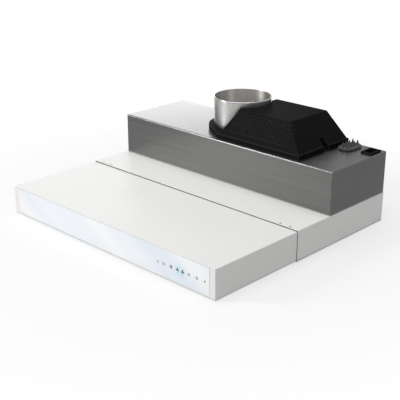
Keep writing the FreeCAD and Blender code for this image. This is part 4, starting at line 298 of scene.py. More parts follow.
def zinc_plate(name, light, shade, grain=220, rough=0.3):
    recipe = Recipe(name, Metallic=1.0, Anisotropic=0.75, Anisotropic_Rotation=0.25)
    recipe.brushed_round("Z")
    crystals = recipe.cells(grain, "Color")
    tone = recipe.mix(recipe.spread(crystals, 0.0, 1.0), light, shade)
    # painted shade: darker in gaps and hollows
    tone = recipe.with_painted_shade(tone, reach=30 * MM, low=0.4)
    # painted highlight: a paler tone along the edges
    tone = recipe.with_edge_highlight(tone, colour(228, 228, 226), amount=0.6, radius=0.5 * MM)
    roughness = recipe.spread(crystals, rough - 0.04, rough + 0.07)
    skin = recipe.noise(scale=500)
    relief = recipe.bump(skin, depth=0.03 * MM, strength=0.3, eased=0.3 * MM)
    return recipe.finish(tone, roughness, relief)


FINISHES["sheet_steel"] = rolled_steel(
    "rolled_sheet_steel", colour(113, 113, 112), colour(105, 105, 104), rough=0.3)
FINISHES["electrical_steel"] = rolled_steel(
    "laminated_steel", colour(96, 94, 92), colour(66, 64, 62), rough=0.45)
FINISHES["galvanised_steel"] = zinc_plate(
    "zinc_plated_steel", colour(212, 211, 208), colour(200, 199, 196))
FINISHES["machined_steel"] = zinc_plate(
    "bright_steel", colour(190, 190, 190), colour(172, 172, 172), grain=900, rough=0.25)
FINISHES["magnet"] = zinc_plate(
    "nickel_plate", colour(214, 210, 202), colour(200, 196, 188), grain=1400, rough=0.16)
print("steel mixed")

# %% [markdown]
# ## The collar's zinc
# The collar is zinc plated too, but its inner wall looks duller, because hardly any light
# comes back out of a duct. One piece can have one material for both walls: a face looks
# inwards if its normal points against the direction away from the collar's axis.

# %% Zinc with a duller inside
def collar_zinc(name, light, shade):
    recipe = Recipe(name, Metallic=1.0, Anisotropic=0.65, Anisotropic_Rotation=0.25)
    recipe.brushed_round("Z")
    from_axis = recipe.vector("SUBTRACT", recipe.place, (*middle_of(*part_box("duct_collar")), 0.0))
    outwards = recipe.vector("MULTIPLY", from_axis, (1.0, 1.0, 0.0))
    facing_out = recipe.vector("DOT_PRODUCT", outwards, recipe.geometry("True Normal"))
    inside = recipe.maths("LESS_THAN", facing_out, -0.01)
    crystals = recipe.cells(220, "Color")
    tone = recipe.mix(recipe.spread(crystals, 0.0, 1.0), light, shade)
    # painted shade: the outer wall is darker close to the black motor cover, where the cover's dark
    # reflection falls on it
    tone = recipe.with_painted_shade(tone, reach=24 * MM, low=0.2, start=0.45, end=0.9)
    dull = recipe.mix(recipe.noise(scale=30), colour(218, 215, 210), colour(210, 207, 202))
    # painted shade: the inner wall gets its own tone, darker deeper in the duct
    tone = recipe.mix(inside, tone, recipe.with_painted_shade(dull, reach=50 * MM, low=0.7))
    # painted highlight: a little paler along the rim and edges
    tone = recipe.with_edge_highlight(tone, colour(222, 222, 220), amount=0.12, radius=0.4 * MM)
    even = recipe.spread(crystals, 0.27, 0.29)
    rough = recipe.maths("ADD", even, recipe.maths("MULTIPLY", inside, 0.07))
    skin = recipe.noise(scale=300, detail=2)
    relief = recipe.bump(skin, depth=0.01 * MM, strength=0.15, eased=0.3 * MM)
    return recipe.finish(tone, rough, relief)


COLLAR_ZINC = collar_zinc("collar_zinc", colour(214, 213, 211), colour(209, 208, 206))
print("collar zinc mixed")

# %% [markdown]
# ## Plastics and rubber
# Mould tools for housings are spark-eroded, which leaves a skin of tiny round pits. The
# motor cover has it, and so it looks almost velvety, with hardly any mirror in it; a painted
# highlight lightens its folds and painted shade darkens its gaps. Rubber is duller and greyer,
# and it collects dust. Both are a bump of fine cells over a coarser noise.

# %% Moulded plastics and rubber
def moulded(name, light, shade, rough, grain=1700, depth=0.06 * MM, sheen=0.0, shine=0.4,
            fold=0.8 * MM, highlight_amount=0.5):
    recipe = Recipe(name, Specular_IOR_Level=shine, Sheen_Weight=sheen, Sheen_Roughness=0.4)
    tint = recipe.mix(recipe.noise(scale=35), light, shade)
    highlight_colour = tuple(min(1.0, part * 2.2 + 0.02) for part in light[:3]) + (1.0,)
    # painted shade: darker in gaps
    tone = recipe.with_painted_shade(tint, reach=3 * MM, low=0.35)
    # painted highlight: a paler copy of the tone along the folds
    tone = recipe.with_edge_highlight(tone, highlight_colour, highlight_amount, fold, start=0.004, end=0.06)
    pits = recipe.maths("ADD", recipe.cells(grain), recipe.noise(grain * 0.4))
    roughness = recipe.spread(recipe.noise(scale=120, detail=4), rough - 0.06, rough + 0.06)
    relief = recipe.bump(pits, depth, strength=0.6, eased=0.6 * MM)
    return recipe.finish(tone, roughness, relief)


FINISHES["black_moulding"] = moulded(
    "black_spark_textured_plastic", colour(29, 29, 30), colour(25, 25, 26), 0.46,
    shine=0.002, fold=1.6 * MM, highlight_amount=1.0)
FINISHES["dark_moulding"] = moulded(
    "dark_grey_plastic", colour(60, 60, 62), colour(50, 50, 52), 0.45)
FINISHES["grey_moulding"] = moulded(
    "grey_plastic", colour(150, 151, 153), colour(140, 141, 143), 0.4)
FINISHES["white_moulding"] = moulded(
    "white_plastic", colour(232, 231, 227), colour(224, 223, 219), 0.38)
FINISHES["grey_rubber"] = moulded(
    "grey_rubber", colour(76, 76, 77), colour(66, 66, 67), 0.72,
    grain=900, depth=0.1 * MM, sheen=0.3)
FINISHES["black_rubber"] = moulded(
    "black_rubber", colour(34, 34, 34), colour(26, 26, 26), 0.75,
    grain=900, depth=0.1 * MM, sheen=0.3)
print("plastics mixed")

# %% [markdown]
# ## Aluminium, brass, boards and lenses
# The filter is anodised aluminium, the motor's casing is die cast, and the capacitor is a
# drawn can. The boards wear a green solder mask over copper tracks, which a brick pattern
# stands for. The lamp lenses are frosted.

# %% The smaller finishes
def cast_metal(name, light, shade, rough, depth):
    recipe = Recipe(name, Metallic=1.0)
    tone = recipe.mix(recipe.noise(scale=70, detail=4), light, shade)
    # painted highlight: a paler tone along the edges
    tone = recipe.with_edge_highlight(tone, colour(222, 223, 225), amount=0.5, radius=0.6 * MM)
    roughness = recipe.spread(recipe.noise(scale=260), rough - 0.06, rough + 0.08)
    skin = recipe.maths("ADD", recipe.noise(scale=420, detail=4), recipe.cells(800))
    relief = recipe.bump(skin, depth, strength=0.5, eased=0.4 * MM)
    return recipe.finish(tone, roughness, relief)


def board_laminate(name):
    recipe = Recipe(name, Specular_IOR_Level=0.5, Coat_Weight=0.4, Coat_Roughness=0.15)
    tracks = recipe.add("ShaderNodeTexBrick")
    recipe.feed(tracks.inputs["Vector"], recipe.stretched(220, 220, 220))
    tracks.inputs["Color1"].default_value = colour(26, 92, 52)
    tracks.inputs["Color2"].default_value = colour(30, 104, 60)
    tracks.inputs["Mortar"].default_value = colour(52, 140, 84)
    tracks.inputs["Mortar Size"].default_value = 0.03
    solder = recipe.spread(recipe.cells(260), 1.0, 0.0, 0.08, 0.12)
    tone = recipe.mix(solder, tracks.outputs["Color"], colour(196, 190, 170))
    relief = recipe.bump(tracks.outputs["Fac"], depth=0.04 * MM, strength=0.4)
    return recipe.finish(tone, recipe.spread(solder, 0.35, 0.25), relief)


def frosted(name):
    recipe = Recipe(name, Specular_IOR_Level=0.5, Coat_Weight=0.6, Coat_Roughness=0.08,
                    Subsurface_Weight=0.15, Subsurface_Radius=(2 * MM, 2 * MM, 2 * MM))
    tone = recipe.mix(recipe.cells(420), colour(236, 237, 234), colour(216, 218, 216))
    return recipe.finish(tone, 0.3, recipe.bump(recipe.cells(420), depth=0.2 * MM, strength=0.5))


FINISHES["cast_aluminium"] = cast_metal(
    "die_cast_aluminium", colour(168, 169, 170), colour(148, 149, 150), 0.45, depth=0.1 * MM)
FINISHES["filter_aluminium"] = cast_metal(
    "anodised_aluminium", colour(196, 198, 200), colour(184, 186, 188), 0.36, depth=0.03 * MM)
FINISHES["mesh_aluminium"] = cast_metal(
    "expanded_aluminium", colour(200, 202, 204), colour(176, 178, 180), 0.34, depth=0.03 * MM)
FINISHES["capacitor_can"] = rolled_steel(
    "drawn_aluminium", colour(206, 207, 209), colour(188, 189, 191), rough=0.25)
FINISHES["contact_brass"] = zinc_plate(
    "contact_brass", colour(206, 172, 96), colour(186, 150, 76), grain=1200, rough=0.22)
FINISHES["board_laminate"] = board_laminate("green_board")
FINISHES["frosted_lens"] = frosted("frosted_lens")
print("smaller finishes mixed:", len(FINISHES))

# %% [markdown]
# ## The glass front
# The drawer's front is a 4 mm glass pane with white enamel fired on its back. Seen from in
# front it is a white surface under a very clear gloss, so a coat over a white base is enough,
# and it doesn't need real refraction. Soft diagonal bands of faint blue on it are a painted
# reflection. A ground edge is duller.

# %% White-backed glass
LIT_MIDDLE = (212.5 * MM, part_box("front_glass")[0][1], 31.0 * MM)  # between the two lit speed marks


def backed_glass(name):
    recipe = Recipe(name, Specular_IOR_Level=0.55, Coat_Weight=1.0, Coat_Roughness=0.03,
                    Coat_IOR=1.52)
    # painted reflection: soft diagonal bands of faint blue across the white pane
    slant = recipe.add("ShaderNodeCombineXYZ")
    recipe.feed(slant.inputs["X"], recipe.vector("DOT_PRODUCT", recipe.place, (1.0, 0.0, 1.6)))
    clouds = recipe.noise(scale=7, detail=1, rough=0.4, where=slant.outputs[0])
    painted_reflection_band = recipe.spread(clouds, 0.0, 1.0, 0.4, 0.62)
    tone = recipe.mix(painted_reflection_band, colour(249, 250, 252), colour(233, 240, 248))
    # the lit speed marks shine a little through the enamel round them
    away = recipe.vector("DISTANCE", recipe.place, LIT_MIDDLE)
    halo = recipe.spread(away, 0.5, 0.0, 5 * MM, 18 * MM)
    tone = recipe.mix(halo, tone, colour(196, 234, 245))
    ground = recipe.edges(0.9 * MM)
    tone = recipe.mix(recipe.maths("MULTIPLY", ground, 0.5), tone, colour(214, 226, 224))
    waves = recipe.bump(recipe.noise(scale=14, detail=1), depth=0.04 * MM, strength=0.25)
    return recipe.finish(tone, recipe.spread(ground, 0.12, 0.4), waves)


FINISHES["front_glass"] = backed_glass("white_backed_glass")
print("glass mixed")

# %% [markdown]
# ## Finishes onto the CAD pieces
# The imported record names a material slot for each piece, so one loop dresses all of them.

# %% Dress every CAD node
slot_of = {entry["node"]: entry["material_slot"] for entry in frame["record"]["subparts"]}
for name, piece in frame["nodes"].items():
    piece.data.materials.clear()
    piece.data.materials.append(FINISHES[slot_of[name]])
print("dressed", len(slot_of), "pieces")

# %% [markdown]
# ## Building meshes
# The finer pieces are built from outlines. A helper turns a bmesh into a piece at the
# origin, and others join two rows of points, turn a profile as on a lathe, and give a flat
# shape a thickness.

# %% Mesh helpers
def smooth_piece(mesh, name, material, sharp_over):
    """An object for a mesh, shaded smooth but for its sharp edges."""
    mesh.materials.clear()
    mesh.materials.append(material)
    mesh.shade_smooth()
    mesh.set_sharp_from_angle(angle=math.radians(sharp_over))
    piece = bpy.data.objects.new(name, mesh)
    bpy.context.scene.collection.objects.link(piece)
    return piece


def piece_from(bm, name, material, sharp_over=35):
    """A finished object from a bmesh, with its normals outwards."""
    bmesh.ops.remove_doubles(bm, verts=bm.verts, dist=1e-7)
    bmesh.ops.recalc_face_normals(bm, faces=bm.faces)
    mesh = bpy.data.meshes.new(name)
    bm.to_mesh(mesh)
    bm.free()
    return smooth_piece(mesh, name, material, sharp_over)


def bridge(bm, near, far):
    """Faces between two closed rows with the same number of points."""
    for i in range(len(near)):
        k = (i + 1) % len(near)
        bm.faces.new((near[i], near[k], far[k], far[i]))


def circle(radius, steps=20, centre=(0.0, 0.0)):
    angles = [2 * math.pi * i / steps for i in range(steps)]
    return [(centre[0] + radius * math.cos(a), centre[1] + radius * math.sin(a)) for a in angles]


def turned(bm, profile, centre, steps):
    """Turns a closed profile of (radius, height) points round a vertical axis."""
    rings = []
    for i in range(steps):
        angle = 2 * math.pi * i / steps
        c, s = math.cos(angle), math.sin(angle)
        rings.append([bm.verts.new((centre[0] + radius * c, centre[1] + radius * s,
                                    centre[2] + height)) for radius, height in profile])
    for i in range(steps):
        bridge(bm, rings[i], rings[(i + 1) % steps])


def slab(bm, outline, place, thickness):
    """Gives a closed 2D outline a thickness; place turns (u, v, depth) into a point."""
    near = [bm.verts.new(place(u, v, 0.0)) for u, v in outline]
    far = [bm.verts.new(place(u, v, thickness)) for u, v in outline]
    bm.faces.new(near)
    bm.faces.new(list(reversed(far)))
    bridge(bm, near, far)


def rounded_box_outline(u0, u1, v0, v1, radius, steps=8):
    points = []
    for cu, cv, start in ((u1 - radius, v1 - radius, 0), (u0 + radius, v1 - radius, 90),
                          (u0 + radius, v0 + radius, 180), (u1 - radius, v0 + radius, 270)):
        for i in range(steps + 1):
            angle = math.radians(start + 90 * i / steps)
            points.append((cu + radius * math.cos(angle), cv + radius * math.sin(angle)))
    return points


print("mesh helpers ready")

# %% [markdown]
# ## The glass pane
# The pane gets softly rounded corners and a ground arris on its front edge. Bevelling the
# front loop of a slab gives the arris a real face, so it catches the light by itself.

# %% The glass pane
glass_low, glass_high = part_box("front_glass")
FACE = glass_low[1] + 0.12 * MM  # the pane's front, with room for the ink before it
CORNER, ARRIS = 1.2 * MM, 0.5 * MM


def facing(y):
    """Places an outline in X and Z on a plane that faces the cook."""
    return lambda u, v, depth: (u, y + depth, v)


bm = bmesh.new()
outline = rounded_box_outline(glass_low[0], glass_high[0], glass_low[2], glass_high[2], CORNER)
slab(bm, outline, facing(FACE), glass_high[1] - FACE)
bmesh.ops.recalc_face_normals(bm, faces=bm.faces)
front_edges = [e for e in bm.edges if all(abs(v.co.y - FACE) < 1e-6 for v in e.verts)]
bmesh.ops.bevel(bm, geom=front_edges, offset=ARRIS, segments=3, profile=0.6, affect="EDGES")
pane = piece_from(bm, "glass_pane", FINISHES["front_glass"])
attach(pane, "drawer")
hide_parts("front_glass")
print("pane is", round((glass_high[0] - glass_low[0]) / MM, 1), "mm wide")

# %% [markdown]
# ## Touch symbols
# A row of small printed symbols sits near the right end of the glass: a timer ring, two
# bars, a lamp, two fan speeds, a ring, a power mark and a dot. They are generic. Print is a
# skin of ink, so each symbol is a plate a twentieth of a millimetre thick, made of rings,
# bars and discs.

# %% Ink, and the lit blue under the chosen speeds
def ink(name, tone, glow=0.0):
    recipe = Recipe(name, Specular_IOR_Level=0.4, Emission_Color=tone, Emission_Strength=glow)
    thin = tuple(part * 0.8 for part in tone[:3]) + (1.0,)
    speckled = recipe.mix(recipe.noise(scale=1500, detail=2), tone, thin)
    return recipe.finish(speckled, recipe.spread(recipe.noise(scale=800), 0.3, 0.45))


INK = ink("printed_ink", colour(34, 40, 46))
PALE_INK = ink("pale_ink", colour(128, 136, 144))
BLUE_INK = ink("lit_blue", colour(110, 186, 206), glow=0.15)
print("inks mixed")

# %% Symbol shapes
INK_SKIN, INK_AHEAD = 0.05 * MM, 0.06 * MM  # its thickness, and its start before the glass


def ring(bm, u, v, inner, outer, place, start=0, end=360, steps=24):
    """A flat ring or part of one, as a row of short slabs joined end to end."""
    for i in range(steps):
        a = math.radians(start + (end - start) * i / steps)
        b = math.radians(start + (end - start) * (i + 1) / steps)
        corners = [(u + r * math.cos(t), v + r * math.sin(t))
                   for r, t in ((inner, a), (outer, a), (outer, b), (inner, b))]
        slab(bm, corners, place, INK_SKIN)


def bar(bm, u, v, width, height, place):
    w, h = width / 2, height / 2
    slab(bm, [(u - w, v - h), (u + w, v - h), (u + w, v + h), (u - w, v + h)], place, INK_SKIN)


def disc(bm, u, v, radius, place):
    slab(bm, circle(radius, centre=(u, v)), place, INK_SKIN)


def fan_mark(bm, u, v, size, place):
    """A hub and three round blades; each is a share of the mark's size."""
    hub, blade, blade_out = 0.18 * size, 0.21 * size, 0.34 * size
    disc(bm, u, v, hub, place)
    for turn in (90, 210, 330):
        angle = math.radians(turn)
        disc(bm, u + blade_out * math.cos(angle), v + blade_out * math.sin(angle), blade, place)


def print_symbols(name, material, draw):
    bm = bmesh.new()
    draw(bm, facing(FACE - INK_AHEAD))
    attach(piece_from(bm, name, material), "drawer")


print("symbol shapes ready")

# %% The row of symbols
ROW = 31.0 * MM  # the row's height
TIMER, BARS, LAMP, SPEED_LOW, SPEED_HIGH, RING, POWER, DOT = [
    x * MM for x in (154.5, 169.3, 189.1, 205.5, 218.8, 234.4, 254.0, 273.5)]


def dark_marks(bm, place):
    # lamp: a bulb over two short bars
    ring(bm, LAMP, ROW + 1.0 * MM, 1.1 * MM, 2.8 * MM, place)
    bar(bm, LAMP, ROW - 2.3 * MM, 2.6 * MM, 0.8 * MM, place)
    bar(bm, LAMP, ROW - 3.4 * MM, 1.8 * MM, 0.7 * MM, place)
    fan_mark(bm, SPEED_LOW, ROW, 7.2 * MM, place)
    fan_mark(bm, SPEED_HIGH, ROW, 7.8 * MM, place)
    # power: an open ring with a bar
    ring(bm, POWER, ROW, 1.8 * MM, 2.9 * MM, place, start=118, end=422)
    bar(bm, POWER, ROW + 1.9 * MM, 1.0 * MM, 3.0 * MM, place)


def pale_marks(bm, place):
    ring(bm, TIMER, ROW, 1.2 * MM, 2.2 * MM, place)
    ring(bm, RING, ROW, 1.4 * MM, 2.8 * MM, place)
    for shift in (-2.0 * MM, 2.0 * MM):
        bar(bm, BARS + shift, ROW, 1.7 * MM, 6.4 * MM, place)
    disc(bm, DOT, ROW, 2.0 * MM, place)


def blue_marks(bm, place):
    for speed in (SPEED_LOW, SPEED_HIGH):
        bar(bm, speed, ROW - 5.6 * MM, 5.6 * MM, 0.9 * MM, place)


print_symbols("dark_symbols", INK, dark_marks)
print_symbols("pale_symbols", PALE_INK, pale_marks)
print_symbols("lit_symbols", BLUE_INK, blue_marks)
print("symbols printed from", round(TIMER / MM), "to", round(DOT / MM), "mm right of the middle")

# %% [markdown]
# ## The duct collar
# The collar is rolled from a strip, so its mouth has a small bead that stiffens it and stops a
# hose clamp from slipping off. Turning a profile gives a finer wall than the CAD triangles,
# with the bead rounded. The profile keeps the CAD's radii, so the piece stays in its place.

# %% The duct collar
collar_low, collar_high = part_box("duct_collar")
ROOF = collar_low[2]  # the steel box's roof, on which the collar and the grommet stand
COLLAR_TALL = collar_high[2] - ROOF
FOOT = (collar_high[0] - collar_low[0]) / 2
WALL_IN, WALL_OUT, STOP_IN = 63.0 * MM, 63.8 * MM, 61.8 * MM
FLANGE_THICK, BEAD_RADIUS = 0.8 * MM, 1.0 * MM
BEAD_MID = COLLAR_TALL - 1.3 * MM


def collar_profile():
    """Points of (radius, height) up the outside, over the bead and back down the inside."""
    points = [(STOP_IN, 0.0), (FOOT, 0.0), (FOOT, FLANGE_THICK),
              (WALL_OUT + 0.9 * MM, FLANGE_THICK), (WALL_OUT + 0.3 * MM, 1.0 * MM)]
    # a second ring close to each end of a wall keeps the long faces between them upright
    for height in (1.7 * MM, 2.4 * MM, BEAD_MID - 1.9 * MM, BEAD_MID - 1.3 * MM):
        points.append((WALL_OUT, height))
    for i in range(9):
        angle = math.radians(-90 + 180 * i / 8)
        points.append((WALL_OUT - 0.2 * MM + 0.98 * BEAD_RADIUS * math.cos(angle),
                       BEAD_MID + BEAD_RADIUS * math.sin(angle)))
    points += [(WALL_OUT - 0.1 * MM, COLLAR_TALL - 0.2 * MM), (WALL_OUT - 0.3 * MM, COLLAR_TALL),
               (WALL_IN + 0.2 * MM, COLLAR_TALL), (WALL_IN, COLLAR_TALL - 0.2 * MM),
               (WALL_IN, COLLAR_TALL - 0.8 * MM)]
    # the inside ends in the step that stops the flap seat
    return points + [(WALL_IN, 15.8 * MM), (WALL_IN, 15.0 * MM), (WALL_IN - 0.4 * MM, 14.2 * MM),
                     (STOP_IN, 13.8 * MM)]


bm = bmesh.new()
turned(bm, collar_profile(), (*middle_of(collar_low, collar_high), ROOF), steps=192)
collar = piece_from(bm, "rolled_collar", COLLAR_ZINC, sharp_over=50)
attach(collar, "hood_body")
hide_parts("duct_collar")
print("collar", round(2 * WALL_OUT / MM, 1), "mm outside,", round(COLLAR_TALL / MM, 1), "mm tall")

# %% [markdown]
# ## Geometry Nodes for what repeats
# Cones, screws and mesh strands repeat. A Geometry Nodes tree sets one shape on many
# points, and its named inputs keep the sizes in view. The result is made a plain mesh,
# because instances don't survive the export.

# %% Helpers that build and run a tree
GEOMETRY, OBJECT, VECTOR = "NodeSocketGeometry", "NodeSocketObject", "NodeSocketVector"
FLOAT, INTEGER = "NodeSocketFloat", "NodeSocketInt"


def new_tree(name, inputs):
    """A tree with a Geometry input and the named ones, its input sockets and its output."""
    tree = bpy.data.node_groups.new(name, "GeometryNodeTree")
    tree.interface.new_socket("Geometry", in_out="INPUT", socket_type=GEOMETRY)
    for label, kind in inputs.items():
        tree.interface.new_socket(label, in_out="INPUT", socket_type=kind)
    tree.interface.new_socket("Geometry", in_out="OUTPUT", socket_type=GEOMETRY)
    given = tree.nodes.new("NodeGroupInput").outputs
    return tree, given, tree.nodes.new("NodeGroupOutput").inputs["Geometry"]


def tree_node(tree, kind, **sources):
    """A node whose named inputs get sockets or values; an underscore stands for a space."""
    node = tree.nodes.new(kind)
    for label, source in sources.items():
        feed(tree, node.inputs[label.replace("_", " ")], source)
    return node


def tree_maths(tree, operation, first, second):
    node = tree.nodes.new("ShaderNodeMath")
    node.operation = operation
    feed(tree, node.inputs[0], first)
    feed(tree, node.inputs[1], second)
    return node.outputs[0]


def end_tree(tree, geometry, output, material):
    """Realize Instances and Set Material, the way every tree here ends."""
    real = tree_node(tree, "GeometryNodeRealizeInstances", Geometry=geometry)
    paint = tree_node(tree, "GeometryNodeSetMaterial", Geometry=real.outputs["Geometry"],
                      Material=material)
    feed(tree, output, paint.outputs["Geometry"])


def run_tree(tree, name, body, material, values, start=None):
    """Runs a tree on an empty or given mesh, and keeps the result as a plain piece."""
    mesh = start or bpy.data.meshes.new(name + "_start")
    holder = bpy.data.objects.new(name + "_holder", mesh)
    bpy.context.scene.collection.objects.link(holder)
    modifier = holder.modifiers.new("shape", "NODES")
    modifier.node_group = tree
    sockets = {item.name: item.identifier for item in tree.interface.items_tree
               if item.in_out == "INPUT"}
    for label, value in values.items():
        modifier[sockets[label]] = value
    bpy.context.view_layer.update()
    graph = bpy.context.evaluated_depsgraph_get()
    result = bpy.data.meshes.new_from_object(holder.evaluated_get(graph))
    bpy.data.objects.remove(holder)
    result.name = name
    piece = smooth_piece(result, name, material, sharp_over=35)
    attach(piece, body)
    return piece


print("tree helpers ready")

# %% [markdown]
# ## The cable grommet
# The grommet is soft grey rubber with two rows of closed cones. The fitter cuts the tip off
# one cone and pushes the cable through. The plate is one slab with a rounded rim, and one
# cone with a hollow flank is set on eight points by a tree.

# %% The grommet's plate
GROMMET = middle_of(*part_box("cable_grommet"))
PLATE_WIDE, PLATE_LONG = 36 * MM, 58 * MM
PLATE = [(0.6, 0.0), (0.0, 0.5), (0.0, 2.6), (0.4, 3.9), (1.4, 4.8), (2.6, 5.0), (4.4, 5.0),
         (5.2, 4.4), (6.0, 4.2)]  # inset from the edge, and height, in millimetres


def obround(centre, width, length, inset, steps=16):
    """A slot outline standing along Y, drawn inset from its edge."""
    radius = width / 2 - inset
    reach = (length - width) / 2
    points = []
    for sign, start in ((1, 0), (-1, 180)):
        for i in range(steps + 1):
            angle = math.radians(start + 180 * i / steps)
            points.append((centre[0] + radius * math.cos(angle),
                           centre[1] + sign * reach + radius * math.sin(angle)))
    return points


def lofted(bm, outlines, heights):
    """Joins outlines with the same number of points, one above the other, and caps both ends."""
    rings = []
    for points, height in zip(outlines, heights):
        rings.append([bm.verts.new((x, y, height)) for x, y in points])
    for low, high in zip(rings, rings[1:]):
        bridge(bm, low, high)
    bm.faces.new(list(reversed(rings[0])))
    bm.faces.new(rings[-1])


bm = bmesh.new()
lofted(bm, [obround(GROMMET, PLATE_WIDE, PLATE_LONG, inset * MM) for inset, _ in PLATE],
       [ROOF + height * MM for _, height in PLATE])
grommet = piece_from(bm, "grommet_plate", FINISHES["grey_rubber"])
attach(grommet, "hood_body")
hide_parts("cable_grommet")
print("grommet plate", round(PLATE_WIDE / MM), "by", round(PLATE_LONG / MM), "mm")

# %% The grommet's cones
CONE = [(4.7, 0.0), (4.2, 0.8), (3.2, 2.6), (2.3, 5.0), (1.5, 8.0), (1.0, 10.2), (0.6, 10.8),
        (0.01, 10.95)]  # radius and height, in millimetres
CONE_PITCH, CONE_FOOT = 12.0 * MM, 4.15 * MM

bm = bmesh.new()
lofted(bm, [circle(radius * MM) for radius, _ in CONE], [height * MM for _, height in CONE])
cone_shape = piece_from(bm, "one_cone", FINISHES["grey_rubber"])

tree, given, output = new_tree("grommet_cones", {"Cone": OBJECT, "Pitch": FLOAT, "Height": VECTOR})
long_side = tree_maths(tree, "MULTIPLY", given["Pitch"], 3.0)
grid = tree_node(tree, "GeometryNodeMeshGrid", Size_X=given["Pitch"], Size_Y=long_side,
                 Vertices_X=2, Vertices_Y=4)
shift = tree_node(tree, "GeometryNodeTransform", Geometry=grid.outputs["Mesh"],
                  Translation=given["Height"])
info = tree_node(tree, "GeometryNodeObjectInfo", Object=given["Cone"])
copies = tree_node(tree, "GeometryNodeInstanceOnPoints", Points=shift.outputs["Geometry"],
                   Instance=info.outputs["Geometry"])
end_tree(tree, copies.outputs["Instances"], output, FINISHES["grey_rubber"])
cones = run_tree(tree, "grommet_cones", "hood_body", FINISHES["grey_rubber"],
                 {"Cone": cone_shape, "Pitch": CONE_PITCH, "Height": (*GROMMET, ROOF + CONE_FOOT)})
bpy.data.objects.remove(cone_shape)
print("cones:", len(cones.data.polygons), "faces")

# %% [markdown]
# ## Lamp lenses
# A hood's lamp has a pressed lens with rings, which spread the light of a few small diodes over
# the whole hob. The rings are on the side that faces down. They are a saw-toothed profile,
# turned like the collar, and the profile closes on the axis.

# %% The lamp lenses
RING_PITCH, RING_DEPTH, RIM_WIDE = 2.2 * MM, 0.45 * MM, 1.6 * MM


def lens_profile(radius, tall):
    """Points of (radius, height): a smooth top, and rings on the underside."""
    points = [(0.0, tall), (radius - 0.3 * MM, tall), (radius, tall - 0.3 * MM),
              (radius, 0.2 * MM), (radius - 0.3 * MM, 0.0)]
    rim = radius - RIM_WIDE
    for k in range(int(rim / RING_PITCH)):
        outer = rim - k * RING_PITCH
        points += [(outer, 0.0), (outer - 0.25 * RING_PITCH, RING_DEPTH),
                   (outer - 0.9 * RING_PITCH, 0.1 * MM)]
    return points + [(0.0, 0.1 * MM)]


for side in ("left", "right"):
    low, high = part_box("lamp_lens_" + side)
    bm = bmesh.new()
    profile = lens_profile((high[0] - low[0]) / 2, high[2] - low[2])
    turned(bm, profile, (*middle_of(low, high), low[2]), steps=96)
    lens = piece_from(bm, "ringed_lens_" + side, FINISHES["frosted_lens"], sharp_over=20)
    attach(lens, "drawer")
    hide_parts("lamp_lens_" + side)
    print(side, "lens:", len(lens.data.polygons), "faces")

# %% [markdown]
# ## Panel screws
# The drawer's underpanel is held by small pan-head screws that are undone to reach the lamps.
# A pan head is a low dome with a six-lobed socket. One screw is turned, with the socket's
# radius waved six times round, and a tree sets it on the places of the CAD's screws.

# %% Where the CAD's screws are
def islands(node):
    """The box of every separate solid in a CAD node, from a merged copy of its triangles."""
    bm = bmesh.new()
    bm.from_mesh(frame["nodes"][node].data)
    bmesh.ops.remove_doubles(bm, verts=bm.verts, dist=1e-6)
    waiting, boxes = set(bm.verts), []
    while waiting:
        found, front = [], [waiting.pop()]
        while front:
            vert = front.pop()
            found.append(vert.co.copy())
            for edge in vert.link_edges:
                other = edge.other_vert(vert)
                if other in waiting:
                    waiting.remove(other)
                    front.append(other)
        boxes.append(([min(c[k] for c in found) for k in range(3)],
                      [max(c[k] for c in found) for k in range(3)]))
    bm.free()
    return boxes


screw_boxes = islands("panel_screws")
screw_low, screw_high = screw_boxes[0]
HEAD = (screw_high[0] - screw_low[0]) / 2
SCREW_TALL = screw_high[2] - screw_low[2]
print("panel screws:", len(screw_boxes), "tall", round(SCREW_TALL / MM, 1), "mm")

# %% One screw, set on every place
SHANK, STEPS, LOBES, LOBE_DEEP = 1.95 * MM, 36, 6, 0.13
SCREW_ROWS = [  # radius, height, and 1 where the six lobes wave the radius
    # the socket, from the middle of its floor out to its mouth
    (0.0, 1.5 * MM, 0), (0.42 * HEAD, 1.4 * MM, 1), (0.46 * HEAD, 0.25 * MM, 1),
    (0.52 * HEAD, 0.06 * MM, 0),
    # over the dome to the edge of the head
    (0.72 * HEAD, 0.15 * MM, 0), (0.9 * HEAD, 0.6 * MM, 0), (HEAD, 1.3 * MM, 0),
    (HEAD, 2.1 * MM, 0), (0.97 * HEAD, 2.2 * MM, 0),
    # up the shank to its point
    (SHANK, 2.2 * MM, 0), (SHANK, SCREW_TALL - 0.9 * MM, 0), (0.55 * SHANK, SCREW_TALL, 0),
    (0.0, SCREW_TALL, 0)]

bm = bmesh.new()
rows = []
for radius, height, wave in SCREW_ROWS:
    row_verts = []
    for i in range(STEPS):
        angle = 2 * math.pi * i / STEPS
        r = radius * (1 + LOBE_DEEP * wave * math.cos(LOBES * angle))
        row_verts.append(bm.verts.new((r * math.cos(angle), r * math.sin(angle), height)))
    rows.append(row_verts)
for near, far in zip(rows, rows[1:]):
    bridge(bm, near, far)
screw_shape = piece_from(bm, "one_screw", FINISHES["machined_steel"])

places = bpy.data.meshes.new("screw_places")
places.from_pydata([(*middle_of(low, high), low[2]) for low, high in screw_boxes], [], [])
tree, given, output = new_tree("set_on_places", {"Shape": OBJECT})
info = tree_node(tree, "GeometryNodeObjectInfo", Object=given["Shape"])
copies = tree_node(tree, "GeometryNodeInstanceOnPoints", Points=given["Geometry"],
                   Instance=info.outputs["Geometry"])
end_tree(tree, copies.outputs["Instances"], output, FINISHES["machined_steel"])
screws = run_tree(tree, "pan_head_screws", "drawer", FINISHES["machined_steel"],
                  {"Shape": screw_shape}, start=places)
bpy.data.objects.remove(screw_shape)
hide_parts("panel_screws")
print("screws:", len(screws.data.polygons), "faces")

# %% [markdown]
# ## The grease filter's mesh
# The filter traps grease in layers of expanded aluminium. Expanded metal is slit and pulled
# into diamonds. The tree bends a plain grid into diamonds by moving every other row of
# points half a step, keeps the edges as curves, and sweeps a flat strand along them.

